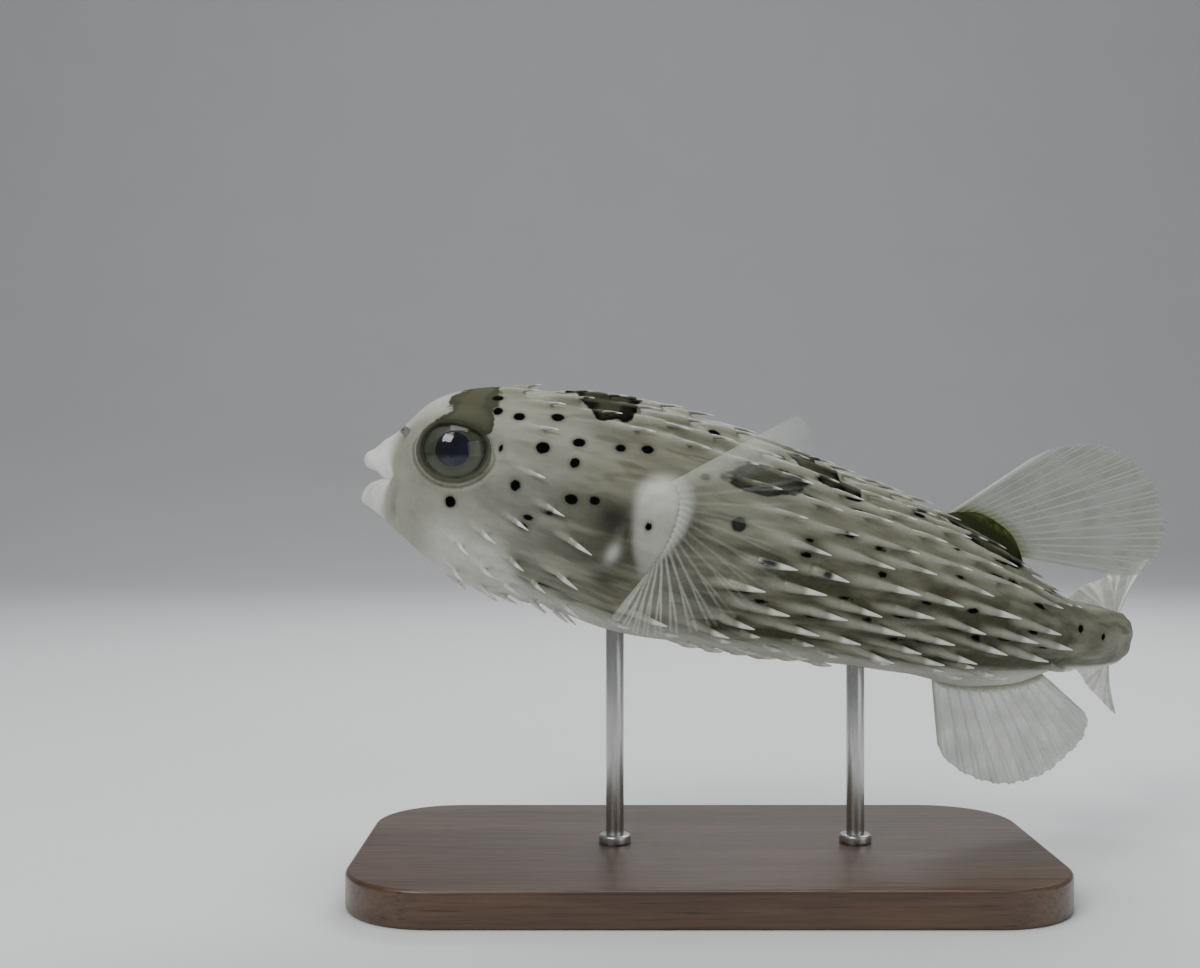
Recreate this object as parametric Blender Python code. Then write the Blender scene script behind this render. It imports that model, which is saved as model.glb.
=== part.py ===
"""A long-spine porcupinefish, life size and deflated, swimming with its tail turned away, on a display stand.

The fish is worked out in a frame of its own, in metres: x runs back from the lips along the body, y to the
fish's right side and z up. Its body is a loft of egg-shaped sections on a spine that bends to the right, with
every second panel drawn out into a spine that lies back along the skin. An empty then tips the fish nose up
and holds it over the stand. The origin is the centre of the stand's underside.
"""

import math

import bmesh
import bpy
from mathutils import Matrix, Vector

# The pose
LIPS_AT = Vector((-0.095, 0.0, 0.112))
NOSE_UP = math.radians(11.6)
BODY_LENGTH = 0.258
BEND_FROM = 0.118
BEND_ANGLE = math.radians(78.0)

GAP = 0.0003
SQUARENESS = 2.25  # of the body's sections: 2 is an ellipse
UP, DOWN = math.pi / 2, -math.pi / 2  # angles round a section of its top and its underside

# Place on the spine, half width, top, underside and height of the widest line
SECTIONS = (
    (0.003, 0.0058, 0.0106, -0.0062, 0.0015),
    (0.008, 0.0126, 0.0153, -0.0097, 0.0025),
    (0.015, 0.0200, 0.0246, -0.0138, 0.0050),
    (0.024, 0.0252, 0.0300, -0.0190, 0.0060),
    (0.036, 0.0282, 0.0334, -0.0234, 0.0050),
    (0.055, 0.0313, 0.0356, -0.0244, 0.0030),
    (0.078, 0.0335, 0.0362, -0.0280, 0.0010),
    (0.102, 0.0328, 0.0340, -0.0272, 0.0005),
    (0.130, 0.0292, 0.0288, -0.0252, 0.0005),
    (0.158, 0.0246, 0.0234, -0.0232, 0.0000),
    (0.176, 0.0206, 0.0174, -0.0214, -0.0010),
    (0.190, 0.0168, 0.0114, -0.0188, -0.0025),
    (0.206, 0.0125, 0.0068, -0.0151, -0.0035),
    (0.226, 0.0085, 0.0060, -0.0124, -0.0032),
    (0.250, 0.0052, 0.0050, -0.0098, -0.0024),
    (0.258, 0.0040, 0.0046, -0.0092, -0.0023),
)

# Lengths of the body, each a piece of its own: start, end, panels round it, panels along it
HEAD = (0.0030, 0.0700, 30, 13)
TRUNK = (0.0700, 0.2060, 32, 19)
TAIL = (0.2060, 0.2500, 20, 6)
TAIL_END = ((0.0020, 0.88), (0.0032, 0.60))  # rings that round its end: how far past it, and their scale

# The mouth: lips as bowed tubes, each with the middle of its front, its corner and its radius at both
UPPER_LIP = (Vector((0.0024, 0.0, 0.0056)), Vector((0.0085, 0.0090, 0.0035)), (0.0028, 0.0021))
LOWER_LIP = (Vector((0.0033, 0.0, -0.0053)), Vector((0.0085, 0.0090, -0.0010)), (0.0023, 0.0022))
UPPER_BEAK = (Vector((0.0072, 0.0, 0.0023)), Vector((0.0116, 0.0032, 0.0018)), (0.0008, 0.0006))
LOWER_BEAK = (Vector((0.0074, 0.0, -0.0006)), Vector((0.0116, 0.0032, -0.0001)), (0.0008, 0.0006))
MOUTH_CORNER = (0.0080, 0.0014)  # place along the body and height of the wedge between the lips
MOUTH_WEDGE = ((-0.0040, 0.0042), (-0.0040, -0.0093))
MOUTH_WIDTH = 0.060
HOLLOW_AT = Vector((0.0030, 0.0, 0.0008))
HOLLOW_SIZE = Vector((0.0150, 0.0070, 0.0034))  # half sizes of the hollow behind the lips

EYE_CENTRE = Vector((0.0268, 0.0175, 0.0119))
EYE_RADIUS = 0.0109
EYE_CLEAR = 0.0155  # no spines nearer to the eye's centre than this

# Spines: reach behind and height over the middle of the panel that each grows from
TRUNK_SPINE = (0.0112, 0.0021)
HEAD_SPINE = (0.0060, 0.0014)
BELLY_SPINE = (0.0064, 0.0014)
BACK_SPINES_FROM = 0.036
BELLY_SPINES_FROM = 0.028
SPINES_END = 0.196
SPINES_SHRINK = (0.078, 0.100)  # spines shorten over this length, which ends this far past the last of them
BELLY_BELOW = -0.7  # sine of the angle under which a spine is a belly spine
BARE_FLANK = (0.064, 0.100, -0.0170, 0.0190)  # round the gill slit and pectoral fin: ends, lowest, highest

# Fleshy roots of the fins: start and end on the spine, half the angle taken up round it, height
DORSAL_ROOT = (0.161, 0.191, 0.26, 0.0060)
ANAL_ROOT = (0.163, 0.209, 0.18, 0.0024)
ROOT_EDGE = 0.0006  # height of a root's edge
ROOT_CLEAR = (0.003, 0.1)  # no spines this near behind a root, or at this little more angle beside it
KEEL_RAYS = (0.12, 0.92)  # stretch of a keel fin's root that bears its rays
PECTORAL_ROOT = (0.0812, 0.0032)  # its middle on the spine and its height
PECTORAL_ROOT_Z = (-0.0095, 0.0165)
PECTORAL_ROOT_HALF = (0.0032, 0.0082)  # half its length along the body at its bottom and its top
PECTORAL_RAYS = 0.92  # share of the root's height that bears rays

NOSTRIL = (0.0118, 0.0150)  # its place on the spine and its height
NOSTRIL_RADII = (0.0013, 0.0009)
NOSTRIL_HEIGHT = 0.0022

# Each fin: number of rays, angle over the body's axis of its first and last ray, their lengths, and how much
# longer than those the middle ray is
DORSAL_FIN = (12, (44.0, 1.0), (0.026, 0.035), 0.0245)
ANAL_FIN = (11, (-72.0, -24.0), (0.018, 0.022), 0.0135)
CAUDAL_FIN = (9, (38.0, -38.0), (0.034, 0.033), 0.005)
PECTORAL_FIN = (16, (40.0, -120.0), (0.037, 0.015), 0.005)
PECTORAL_SPREAD = {-1: (20.0, 32.0, 42.0), 1: (18.0, 16.0, 32.0)}  # degrees off the flank
CAUDAL_CUP = (math.radians(-16.0), math.radians(26.0))  # further turn of the tail fin's edges and its middle
CAUDAL_FIRST_TURN = 0.4  # share of the cup that the rays have at their roots
CAUDAL_ROOT = (0.2537, 0.0034, -0.0084)  # its place on the spine, top and bottom

FIN_STEPS = 3
FIN_ROUNDNESS = 0.6  # under 1 fills out the corners of a fin's outline
MEMBRANE = 0.00050
RAY = 0.00090

BASE_SIZE = Vector((0.190, 0.100, 0.010))
BASE_CORNER = 0.024
BASE_EDGE = 0.0012
ROD_RADIUS = 0.0025
ROD_FOOT = 0.0040  # height of the rods' feet, in sockets in the base
ROD_IN_BODY = 0.0045
RODS_ON = {"front": 0.078, "rear": 0.146}  # places on the spine that the rods stand under
ROD_CLEAR = (0.012, -0.9)  # no spines nearer to a rod along the belly, under this sine of the angle
ROD_SIDES = 24


def material(name, colour, roughness, metallic=0.0):
    made = bpy.data.materials.new(name)
    made.use_nodes = True
    shader = made.node_tree.nodes["Principled BSDF"]
    shader.inputs["Base Color"].default_value = (*colour, 1.0)
    shader.inputs["Roughness"].default_value = roughness
    shader.inputs["Metallic"].default_value = metallic
    return made


def collection(name):
    made = bpy.data.collections.new(name)
    bpy.context.scene.collection.children.link(made)
    return made


def object_from(bm, name, group, finish, parent=None):
    """A named object from a bmesh, with one material and its faces pointing out."""
    bmesh.ops.recalc_face_normals(bm, faces=bm.faces)
    mesh = bpy.data.meshes.new(name)
    bm.to_mesh(mesh)
    bm.free()
    mesh.materials.append(finish)
    mesh.shade_smooth()
    mesh.set_sharp_from_angle(angle=math.radians(40))
    made = bpy.data.objects.new(name, mesh)
    group.objects.link(made)
    made.parent = parent
    return made


def cut(target, cutter):
    """A live Boolean that takes the cutter's shape away."""
    cutter.hide_render = True
    cutter.display_type = "WIRE"
    modifier = target.modifiers.new("cut_" + cutter.name, "BOOLEAN")
    modifier.operation = "DIFFERENCE"
    modifier.object = cutter


# The body as a surface


def turned(s):
    """How far the spine has turned to the right at a place on it."""
    along = max(0.0, s - BEND_FROM) / (BODY_LENGTH - BEND_FROM)
    return BEND_ANGLE * along * along


def spine_points(step=0.001):
    points = [Vector((0.0, 0.0, 0.0))]
    for index in range(round(BODY_LENGTH / step) + 60):
        angle = turned((index + 0.5) * step)
        points.append(points[-1] + step * Vector((math.cos(angle), math.sin(angle), 0.0)))
    return points


SPINE = spine_points()


def spine_at(s):
    place = max(0.0, s) * 1000
    index = min(int(place), len(SPINE) - 2)
    return SPINE[index].lerp(SPINE[index + 1], place - index)


def rightward(s):
    heading = turned(s)
    return Vector((-math.sin(heading), math.cos(heading), 0.0))


def section(s):
    """Half width, top, underside and height of the widest line, on smooth curves through SECTIONS."""
    index = 0
    while index < len(SECTIONS) - 2 and SECTIONS[index + 1][0] < s:
        index += 1
    a, b = SECTIONS[index], SECTIONS[index + 1]
    before = SECTIONS[max(index - 1, 0)]
    after = SECTIONS[min(index + 2, len(SECTIONS) - 1)]
    t = min(max((s - a[0]) / (b[0] - a[0]), 0.0), 1.0)
    values = []
    for k in range(1, 5):
        rise = b[k] - a[k]
        slope_a = (b[k] - before[k]) / (b[0] - before[0]) * (b[0] - a[0])
        slope_b = (after[k] - a[k]) / (after[0] - a[0]) * (b[0] - a[0])
        bulge = t * (1 - t) * ((1 - t) * (slope_a - rise) - t * (slope_b - rise))
        values.append(a[k] + t * rise + bulge)
    return values


def skin(s, angle, scale=1.0):
    """A point of the skin: angle 0 is the right side, a quarter turn the back, half a turn the left side."""
    width, top, under, middle = section(s)
    power = 2 / SQUARENESS
    across = math.copysign(abs(math.cos(angle)) ** power, math.cos(angle))
    rise = math.copysign(abs(math.sin(angle)) ** power, math.sin(angle))
    height = top - middle if rise > 0 else middle - under
    offset = rightward(s) * (width * across) + Vector((0.0, 0.0, height * rise))
    return spine_at(s) + Vector((0.0, 0.0, middle)) + offset * scale


def skin_normal(s, angle):
    along = skin(s + 0.001, angle) - skin(s - 0.001, angle)
    around = skin(s, angle + 0.05) - skin(s, angle - 0.05)
    return around.cross(along).normalized()


def over_skin(s, angle, lift):
    return skin(s, angle) + skin_normal(s, angle) * lift


def angle_at(s, z, side):
    """The angle where the skin stands at height z, on side 1, the right, or -1, the left."""
    _, top, under, middle = section(s)
    reach = (z - middle) / (top - middle if z > middle else middle - under)
    rise = math.copysign(min(abs(reach), 1.0) ** (SQUARENESS / 2), reach)
    return math.asin(rise) if side > 0 else math.pi - math.asin(rise)


# The body's lengths, with their spines


def bears_spine(s, angle):
    point = skin(s, angle)
    on_back = math.sin(angle) > 0
    if s < (BACK_SPINES_FROM if on_back else BELLY_SPINES_FROM) or s > SPINES_END:
        return False
    if (Vector((point.x, abs(point.y), point.z)) - EYE_CENTRE).length < EYE_CLEAR:
        return False
    start, end, lowest, highest = BARE_FLANK
    if start < s < end and lowest < point.z < highest:
        return False
    by_rod = min(abs(s - place) for place in RODS_ON.values()) < ROD_CLEAR[0]
    if by_rod and math.sin(angle) < ROD_CLEAR[1]:
        return False
    start, end, half_angle, _ = DORSAL_ROOT if on_back else ANAL_ROOT
    by_fin = start - TRUNK_SPINE[0] < s < end + ROOT_CLEAR[0]
    return not (by_fin and abs(math.cos(angle)) < math.sin(half_angle + ROOT_CLEAR[1]))


def spine_tip(s, angle):
    reach, height = TRUNK_SPINE
    if s < HEAD[1]:
        reach, height = HEAD_SPINE
    elif math.sin(angle) < BELLY_BELOW:
        reach, height = BELLY_SPINE
    taper = min(1.0, (SPINES_END + SPINES_SHRINK[0] - s) / SPINES_SHRINK[1])
    return over_skin(s + reach * taper, angle, height * taper)


def body_length(name, span, group, finish, parent, end_rings=()):
    """One length of the body, with a spine on every second panel that bears one."""
    start, end, around, along = span
    start += GAP / 2
    end -= GAP / 2
    bm = bmesh.new()
    places = [start + (end - start) * i / along for i in range(along + 1)]
    angles = [math.tau * (j + 0.5) / around for j in range(around)]
    rings = [[bm.verts.new(skin(s, a)) for a in angles] for s in places]
    rings += [[bm.verts.new(skin(end + past, a, scale)) for a in angles] for past, scale in end_rings]
    for i in range(len(rings) - 1):
        for j in range(around):
            k = (j + 1) % around
            corners = (rings[i][j], rings[i + 1][j], rings[i + 1][k], rings[i][k])
            s = (places[i] + places[i + 1]) / 2 if i < along else end
            angle = angles[j] + math.pi / around
            if (i + j) % 2 or i >= along or not bears_spine(s, angle):
                bm.faces.new(corners)
                continue
            tip = bm.verts.new(spine_tip(s, angle))
            for m in range(4):
                bm.faces.new((corners[m], corners[(m + 1) % 4], tip))
    for ring in (rings[0], rings[-1]):
        centre = bm.verts.new(sum((vertex.co for vertex in ring), Vector()) / around)
        for j in range(around):
            bm.faces.new((ring[j], ring[(j + 1) % around], centre))
    return object_from(bm, name, group, finish, parent)


# Eyes, lips, beak and nostrils


def eyes(group, cutters, head, finish, parent):
    for side, sign in (("left", -1), ("right", 1)):
        centre = Vector((EYE_CENTRE.x, sign * EYE_CENTRE.y, EYE_CENTRE.z))
        for name, radius, where in (("eye_", EYE_RADIUS, group), ("socket_", EYE_RADIUS + GAP, cutters)):
            bm = bmesh.new()
            bmesh.ops.create_uvsphere(bm, u_segments=18, v_segments=10, radius=radius)
            bmesh.ops.rotate(bm, verts=bm.verts, matrix=Matrix.Rotation(math.pi / 2, 3, "X"))
            made = object_from(bm, name + side, where, finish, parent)
            made.location = centre
            if where is cutters:
                cut(head, made)


def bowed_tube(name, bow, grow, group, finish, parent, steps=16, sides=12):
    """A tube bowed round the mouth from one corner to the other, made bigger all round by grow."""
    front, corner, radii = bow
    bm = bmesh.new()
    rings = []
    for i in range(steps + 1):
        turn = math.pi * (i / steps - 0.5)
        fore, across = math.cos(turn), math.sin(turn)
        centre = corner.lerp(front, fore)
        centre.y = corner.y * across
        if i in (0, steps):
            centre.x += grow
        radius = radii[1] + (radii[0] - radii[1]) * fore + grow
        outward = Vector(((front.x - corner.x) * fore, corner.y * across, 0.0)).normalized()
        ring = [outward * (radius * math.cos(math.tau * k / sides)) for k in range(sides)]
        lifts = [Vector((0.0, 0.0, radius * math.sin(math.tau * k / sides))) for k in range(sides)]
        rings.append([bm.verts.new(centre + point + lift) for point, lift in zip(ring, lifts)])
    for first, second in zip(rings, rings[1:]):
        for k in range(sides):
            bm.faces.new((first[k], first[(k + 1) % sides], second[(k + 1) % sides], second[k]))
    bm.faces.new(rings[0])
    bm.faces.new(rings[-1])
    return object_from(bm, name, group, finish, parent)


def mouth(group, cutters, head, finish, ivory, parent):
    """The lips, the open wedge between them, the hollow behind it and the two plates of the beak."""
    bm = bmesh.new()
    outline = (MOUTH_WEDGE[0], MOUTH_WEDGE[1], MOUTH_CORNER)
    sides = [[bm.verts.new((x, y, z)) for x, z in outline] for y in (-MOUTH_WIDTH / 2, MOUTH_WIDTH / 2)]
    for loop in sides:
        bm.faces.new(loop)
    for k in range(3):
        bm.faces.new((sides[0][k], sides[0][(k + 1) % 3], sides[1][(k + 1) % 3], sides[1][k]))
    cut(head, object_from(bm, "mouth_gap", cutters, finish, parent))
    for name, lip in (("lip_upper", UPPER_LIP), ("lip_lower", LOWER_LIP)):
        bowed_tube(name, lip, 0.0, group, finish, parent)
        cut(head, bowed_tube("seat_" + name, lip, GAP, cutters, finish, parent))
    for name, beak in (("beak_upper", UPPER_BEAK), ("beak_lower", LOWER_BEAK)):
        bowed_tube(name, beak, 0.0, group, ivory, parent, 8, 6)
    bm = bmesh.new()
    bmesh.ops.create_uvsphere(bm, u_segments=12, v_segments=8, radius=1.0)
    bmesh.ops.scale(bm, verts=bm.verts, vec=HOLLOW_SIZE)
    hollow = object_from(bm, "mouth_hollow", cutters, finish, parent)
    hollow.location = HOLLOW_AT
    cut(head, hollow)


def nostrils(group, finish, parent):
    """A short fleshy tube in front of each eye."""
    for side, sign in (("left", -1), ("right", 1)):
        angle = angle_at(NOSTRIL[0], NOSTRIL[1], sign)
        bm = bmesh.new()
        bmesh.ops.create_cone(
            bm,
            cap_ends=True,
            segments=12,
            radius1=NOSTRIL_RADII[0],
            radius2=NOSTRIL_RADII[1],
            depth=NOSTRIL_HEIGHT,
        )
        made = object_from(bm, "nostril_" + side, group, finish, parent)
        normal = skin_normal(NOSTRIL[0], angle)
        made.location = over_skin(NOSTRIL[0], angle, NOSTRIL_HEIGHT / 2 + 2 * GAP)
        made.rotation_euler = normal.to_track_quat("Z", "Y").to_euler()


# Fins and their fleshy roots


def fleshy_root(name, outline, height, group, finish, parent):
    """A low dome on the skin. outline(turn, reach) gives a place and an angle: at reach 0, its middle."""
    rings, around = 3, 18
    bm = bmesh.new()
    layers = []
    for upper in (False, True):
        rows = []
        for r in range(1, rings + 1):
            reach = math.sin(math.pi / 2 * r / rings)
            lift = ROOT_EDGE + height * math.sqrt(max(0.0, 1 - reach * reach)) if upper else GAP
            places = [outline(math.tau * k / around, reach) for k in range(around)]
            rows.append([bm.verts.new(over_skin(*place, lift + (GAP if upper else 0.0))) for place in places])
        middle = outline(0.0, 0.0)
        centre = bm.verts.new(over_skin(*middle, GAP + (ROOT_EDGE + height if upper else 0.0)))
        layers.append((centre, rows))
    for centre, rows in layers:
        for k in range(around):
            bm.faces.new((centre, rows[0][k], rows[0][(k + 1) % around]))
        for first, second in zip(rows, rows[1:]):
            for k in range(around):
                bm.faces.new((first[k], second[k], second[(k + 1) % around], first[(k + 1) % around]))
    lower, upper = layers[0][1][-1], layers[1][1][-1]
    for k in range(around):
        bm.faces.new((lower[k], upper[k], upper[(k + 1) % around], lower[(k + 1) % around]))
    return object_from(bm, name, group, finish, parent)


def keel_outline(root, keel_angle):
    """The outline of a root on the back or the belly, an oval along the body."""
    start, end, half_angle, _ = root

    def outline(turn, reach):
        s = (start + end) / 2 + (end - start) / 2 * reach * math.cos(turn)
        return s, keel_angle + half_angle * reach * math.sin(turn)

    return outline


def pectoral_outline(side):
    """The outline of the pad at a pectoral fin's root, wider at its top."""
    low, high = PECTORAL_ROOT_Z

    def outline(turn, reach):
        upward = reach * math.sin(turn)
        z = (low + high) / 2 + (high - low) / 2 * upward
        half = PECTORAL_ROOT_HALF[0] + (PECTORAL_ROOT_HALF[1] - PECTORAL_ROOT_HALF[0]) * (upward + 1) / 2
        s = PECTORAL_ROOT[0] + half * reach * math.cos(turn)
        return s, angle_at(s, z, side)

    return outline


def fin(name, rays, roots, tips, group, finish, parent):
    """A fin as one thin solid, its rays proud of its web. roots(t) and tips(t, along) give its points, as t
    runs from the first ray to the last."""
    columns = 2 * rays - 1
    steps = FIN_STEPS
    grid = []
    for i in range(columns):
        t = i / (columns - 1)
        grid.append([tips(t, k / steps) if k else roots(t) for k in range(steps + 1)])
    bm = bmesh.new()
    faces = []
    for sign in (1, -1):
        layer = []
        for i, column in enumerate(grid):
            row = []
            for k, point in enumerate(column):
                along = column[min(k + 1, steps)] - column[max(k - 1, 0)]
                across = grid[min(i + 1, columns - 1)][k] - grid[max(i - 1, 0)][k]
                normal = along.cross(across).normalized()
                thick = MEMBRANE if i % 2 else RAY + (MEMBRANE - RAY) * k / steps
                row.append(bm.verts.new(point + normal * (sign * thick / 2)))
            layer.append(row)
        faces.append(layer)
    for layer in faces:
        for first, second in zip(layer, layer[1:]):
            for k in range(steps):
                bm.faces.new((first[k], first[k + 1], second[k + 1], second[k]))
    front, back = faces
    for column in (0, -1):
        for k in range(steps):
            bm.faces.new((front[column][k], front[column][k + 1], back[column][k + 1], back[column][k]))
    for end in (0, -1):
        for i in range(columns - 1):
            bm.faces.new((front[i][end], front[i + 1][end], back[i + 1][end], back[i][end]))
    return object_from(bm, name, group, finish, parent)


def ray_direction(heading, up_angle, off_angle, side):
    """Along the body at a heading, tilted up by one angle and off the flank, on a side, by the other."""
    fore = Vector((math.cos(heading), math.sin(heading), 0.0))
    across = Vector((-math.sin(heading), math.cos(heading), 0.0)) * side
    flat = fore * math.cos(up_angle) + Vector((0.0, 0.0, 1.0)) * math.sin(up_angle)
    return flat * math.cos(off_angle) + across * math.sin(off_angle)


def ray_length(shape, t):
    _, _, (first, last), bulge = shape
    return first + (last - first) * t + bulge * math.sin(math.pi * t) ** FIN_ROUNDNESS


def ray_angle(shape, t):
    first, last = shape[1]
    return math.radians(first + (last - first) * t)


def keel_fin(name, shape, root, keel_angle, group, finish, parent):
    """The fin on the back or the belly, rising from the crest of its root."""
    start, end, _, height = root
    half = (end - start) / 2
    first, last = KEEL_RAYS

    def place(t):
        return start + 2 * half * (first + (last - first) * t)

    def root_point(t):
        reach = (place(t) - start - half) / half
        return over_skin(place(t), keel_angle, 4 * GAP + ROOT_EDGE + height * math.sqrt(1 - reach * reach))

    def tip_point(t, along):
        direction = ray_direction(turned(place(t)), ray_angle(shape, t), 0.0, 1)
        return root_point(t) + direction * (ray_length(shape, t) * along)

    return fin(name, shape[0], root_point, tip_point, group, finish, parent)


def pectoral_fin(name, side, group, finish, parent):
    low, high = PECTORAL_ROOT_Z
    first, middle, last = PECTORAL_SPREAD[side]

    def root_point(t):
        upward = PECTORAL_RAYS * (1 - 2 * t)
        z = (low + high) / 2 + (high - low) / 2 * upward
        half = PECTORAL_ROOT_HALF[0] + (PECTORAL_ROOT_HALF[1] - PECTORAL_ROOT_HALF[0]) * (upward + 1) / 2
        s = PECTORAL_ROOT[0] + half * math.sqrt(1 - upward * upward) + 2.5 * GAP
        return over_skin(s, angle_at(s, z, side), 5 * GAP)

    def tip_point(t, along):
        off = first + (last - first) * t + (middle - (first + last) / 2) * math.sin(math.pi * t)
        direction = ray_direction(0.0, ray_angle(PECTORAL_FIN, t), math.radians(off), side)
        return root_point(t) + direction * (ray_length(PECTORAL_FIN, t) * along)

    return fin(name, PECTORAL_FIN[0], root_point, tip_point, group, finish, parent)


def caudal_fin(group, finish, parent):
    """The tail fin, which goes on turning past the end of the body."""
    s, top, bottom = CAUDAL_ROOT

    def root_point(t):
        return spine_at(s) + Vector((0.0, 0.0, top + (bottom - top) * t))

    def tip_point(t, along):
        length = ray_length(CAUDAL_FIN, t) * along
        cup = CAUDAL_CUP[0] + (CAUDAL_CUP[1] - CAUDAL_CUP[0]) * math.sin(math.pi * t)
        heading = turned(s) + cup * (CAUDAL_FIRST_TURN + (1 - CAUDAL_FIRST_TURN) * along)
        return root_point(t) + ray_direction(heading, ray_angle(CAUDAL_FIN, t), 0.0, 1) * length

    return fin("fin_caudal", CAUDAL_FIN[0], root_point, tip_point, group, finish, parent)


# The stand


def stand(group, cutters, trunk, pose, wood, metal):
    bm = bmesh.new()
    bmesh.ops.create_cube(bm, size=1.0)
    bmesh.ops.scale(bm, verts=bm.verts, vec=BASE_SIZE)
    upright = [edge for edge in bm.edges if abs(edge.verts[0].co.z - edge.verts[1].co.z) > BASE_SIZE.z / 2]
    bmesh.ops.bevel(bm, geom=upright, offset=BASE_CORNER, segments=5, profile=0.5, affect="EDGES")
    rim = [edge for edge in bm.edges if min(vertex.co.z for vertex in edge.verts) > BASE_SIZE.z / 2 - 1e-6]
    bmesh.ops.bevel(bm, geom=rim, offset=BASE_EDGE, segments=2, profile=0.5, affect="EDGES")
    base = object_from(bm, "stand_base", group, wood)
    base.location.z = BASE_SIZE.z / 2
    for name, s in RODS_ON.items():
        foot = pose @ skin(s, DOWN)
        top = foot.z + ROD_IN_BODY
        rod(f"stand_rod_{name}", foot, ROD_FOOT, top, ROD_RADIUS, group, metal)
        clear = ROD_RADIUS + GAP
        cut(base, rod(f"base_hole_{name}", foot, ROD_FOOT - GAP, BASE_SIZE.z * 2, clear, cutters, metal))
        cut(trunk, rod(f"body_hole_{name}", foot, ROD_FOOT, top + GAP, clear, cutters, metal))


def rod(name, place, bottom, top, radius, group, finish):
    bm = bmesh.new()
    sizes = {"radius1": radius, "radius2": radius, "depth": top - bottom}
    bmesh.ops.create_cone(bm, cap_ends=True, segments=ROD_SIDES, **sizes)
    made = object_from(bm, name, group, finish)
    made.location = (place.x, place.y, (top + bottom) / 2)
    return made


def main():
    for old in list(bpy.data.objects):
        bpy.data.objects.remove(old)
    group = collection("porcupinefish")
    cutters = collection("cutters")
    cutters.hide_render = True
    flesh = material("speckled_skin", (0.52, 0.50, 0.40), 0.45)
    pale = material("pale_skin", (0.72, 0.72, 0.66), 0.4)
    eye = material("eye", (0.03, 0.04, 0.06), 0.08)
    web = material("fin_web", (0.50, 0.50, 0.38), 0.4)
    ivory = material("beak", (0.80, 0.76, 0.64), 0.3)
    wood = material("dark_wood", (0.06, 0.03, 0.018), 0.35)
    metal = material("satin_steel", (0.6, 0.6, 0.58), 0.3, 1.0)

    parent = bpy.data.objects.new("pose", None)
    group.objects.link(parent)
    parent.location = LIPS_AT
    parent.rotation_euler = (0.0, NOSE_UP, 0.0)
    pose = Matrix.Translation(LIPS_AT) @ Matrix.Rotation(NOSE_UP, 4, "Y")

    head = body_length("head", HEAD, group, flesh, parent)
    trunk = body_length("trunk", TRUNK, group, flesh, parent)
    body_length("tail", TAIL, group, flesh, parent, TAIL_END)
    eyes(group, cutters, head, eye, parent)
    mouth(group, cutters, head, pale, ivory, parent)
    nostrils(group, pale, parent)
    fleshy_root("dorsal_root", keel_outline(DORSAL_ROOT, UP), DORSAL_ROOT[3], group, flesh, parent)
    fleshy_root("anal_root", keel_outline(ANAL_ROOT, DOWN), ANAL_ROOT[3], group, flesh, parent)
    keel_fin("fin_dorsal", DORSAL_FIN, DORSAL_ROOT, UP, group, web, parent)
    keel_fin("fin_anal", ANAL_FIN, ANAL_ROOT, DOWN, group, web, parent)
    caudal_fin(group, web, parent)
    for name, side in (("left", -1), ("right", 1)):
        fleshy_root(f"pectoral_root_{name}", pectoral_outline(side), PECTORAL_ROOT[1], group, pale, parent)
        pectoral_fin(f"fin_pectoral_{name}", side, group, web, parent)
    stand(group, cutters, trunk, pose, wood, metal)


main()
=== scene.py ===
"""A long-spine porcupinefish, life size and deflated, its tail turned away, on a display stand.

The fish is worked out in a frame of its own, in metres: x runs back from the lips along the body, y to
the fish's right side and z up. A place on its skin is a place on the bent spine and an angle round the
body, which is 0 on the right side, a quarter turn on the back and half a turn on the left side. Each piece
starts as a primitive whose points are then moved onto the fish, nose up and over the stand.
"""

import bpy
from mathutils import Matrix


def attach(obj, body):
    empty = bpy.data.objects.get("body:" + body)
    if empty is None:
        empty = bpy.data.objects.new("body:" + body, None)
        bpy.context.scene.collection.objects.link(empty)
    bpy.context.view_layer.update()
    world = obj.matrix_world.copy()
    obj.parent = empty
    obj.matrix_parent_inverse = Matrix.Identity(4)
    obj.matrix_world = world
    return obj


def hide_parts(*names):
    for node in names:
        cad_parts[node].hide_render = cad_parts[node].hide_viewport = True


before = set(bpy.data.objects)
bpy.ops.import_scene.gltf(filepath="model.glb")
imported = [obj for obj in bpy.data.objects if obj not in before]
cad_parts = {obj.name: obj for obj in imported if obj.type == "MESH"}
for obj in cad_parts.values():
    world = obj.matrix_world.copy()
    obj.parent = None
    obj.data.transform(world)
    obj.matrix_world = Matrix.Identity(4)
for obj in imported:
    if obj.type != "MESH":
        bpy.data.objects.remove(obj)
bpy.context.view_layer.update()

import math

import bpy
import numpy as np
from bpy.props import FloatProperty, FloatVectorProperty, IntProperty, PointerProperty
from mathutils import Vector

bl_info = {
    "name": "Porcupinefish",
    "version": (1, 0),
    "blender": (4, 5, 0),
    "location": "3D View > Sidebar > Porcupinefish",
    "description": "Builds a life-size porcupinefish on a display stand",
    "category": "Add Mesh",
}

MM = 0.001

# Angles of the middle of the back and of the belly, the two sides, and steps that count as close by
BACK = math.pi / 2
BELLY = 1.5 * math.pi
SIDES = (("left", -1), ("right", 1))
NEAR_ALONG = 0.001
NEAR_ROUND = 0.05

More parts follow.
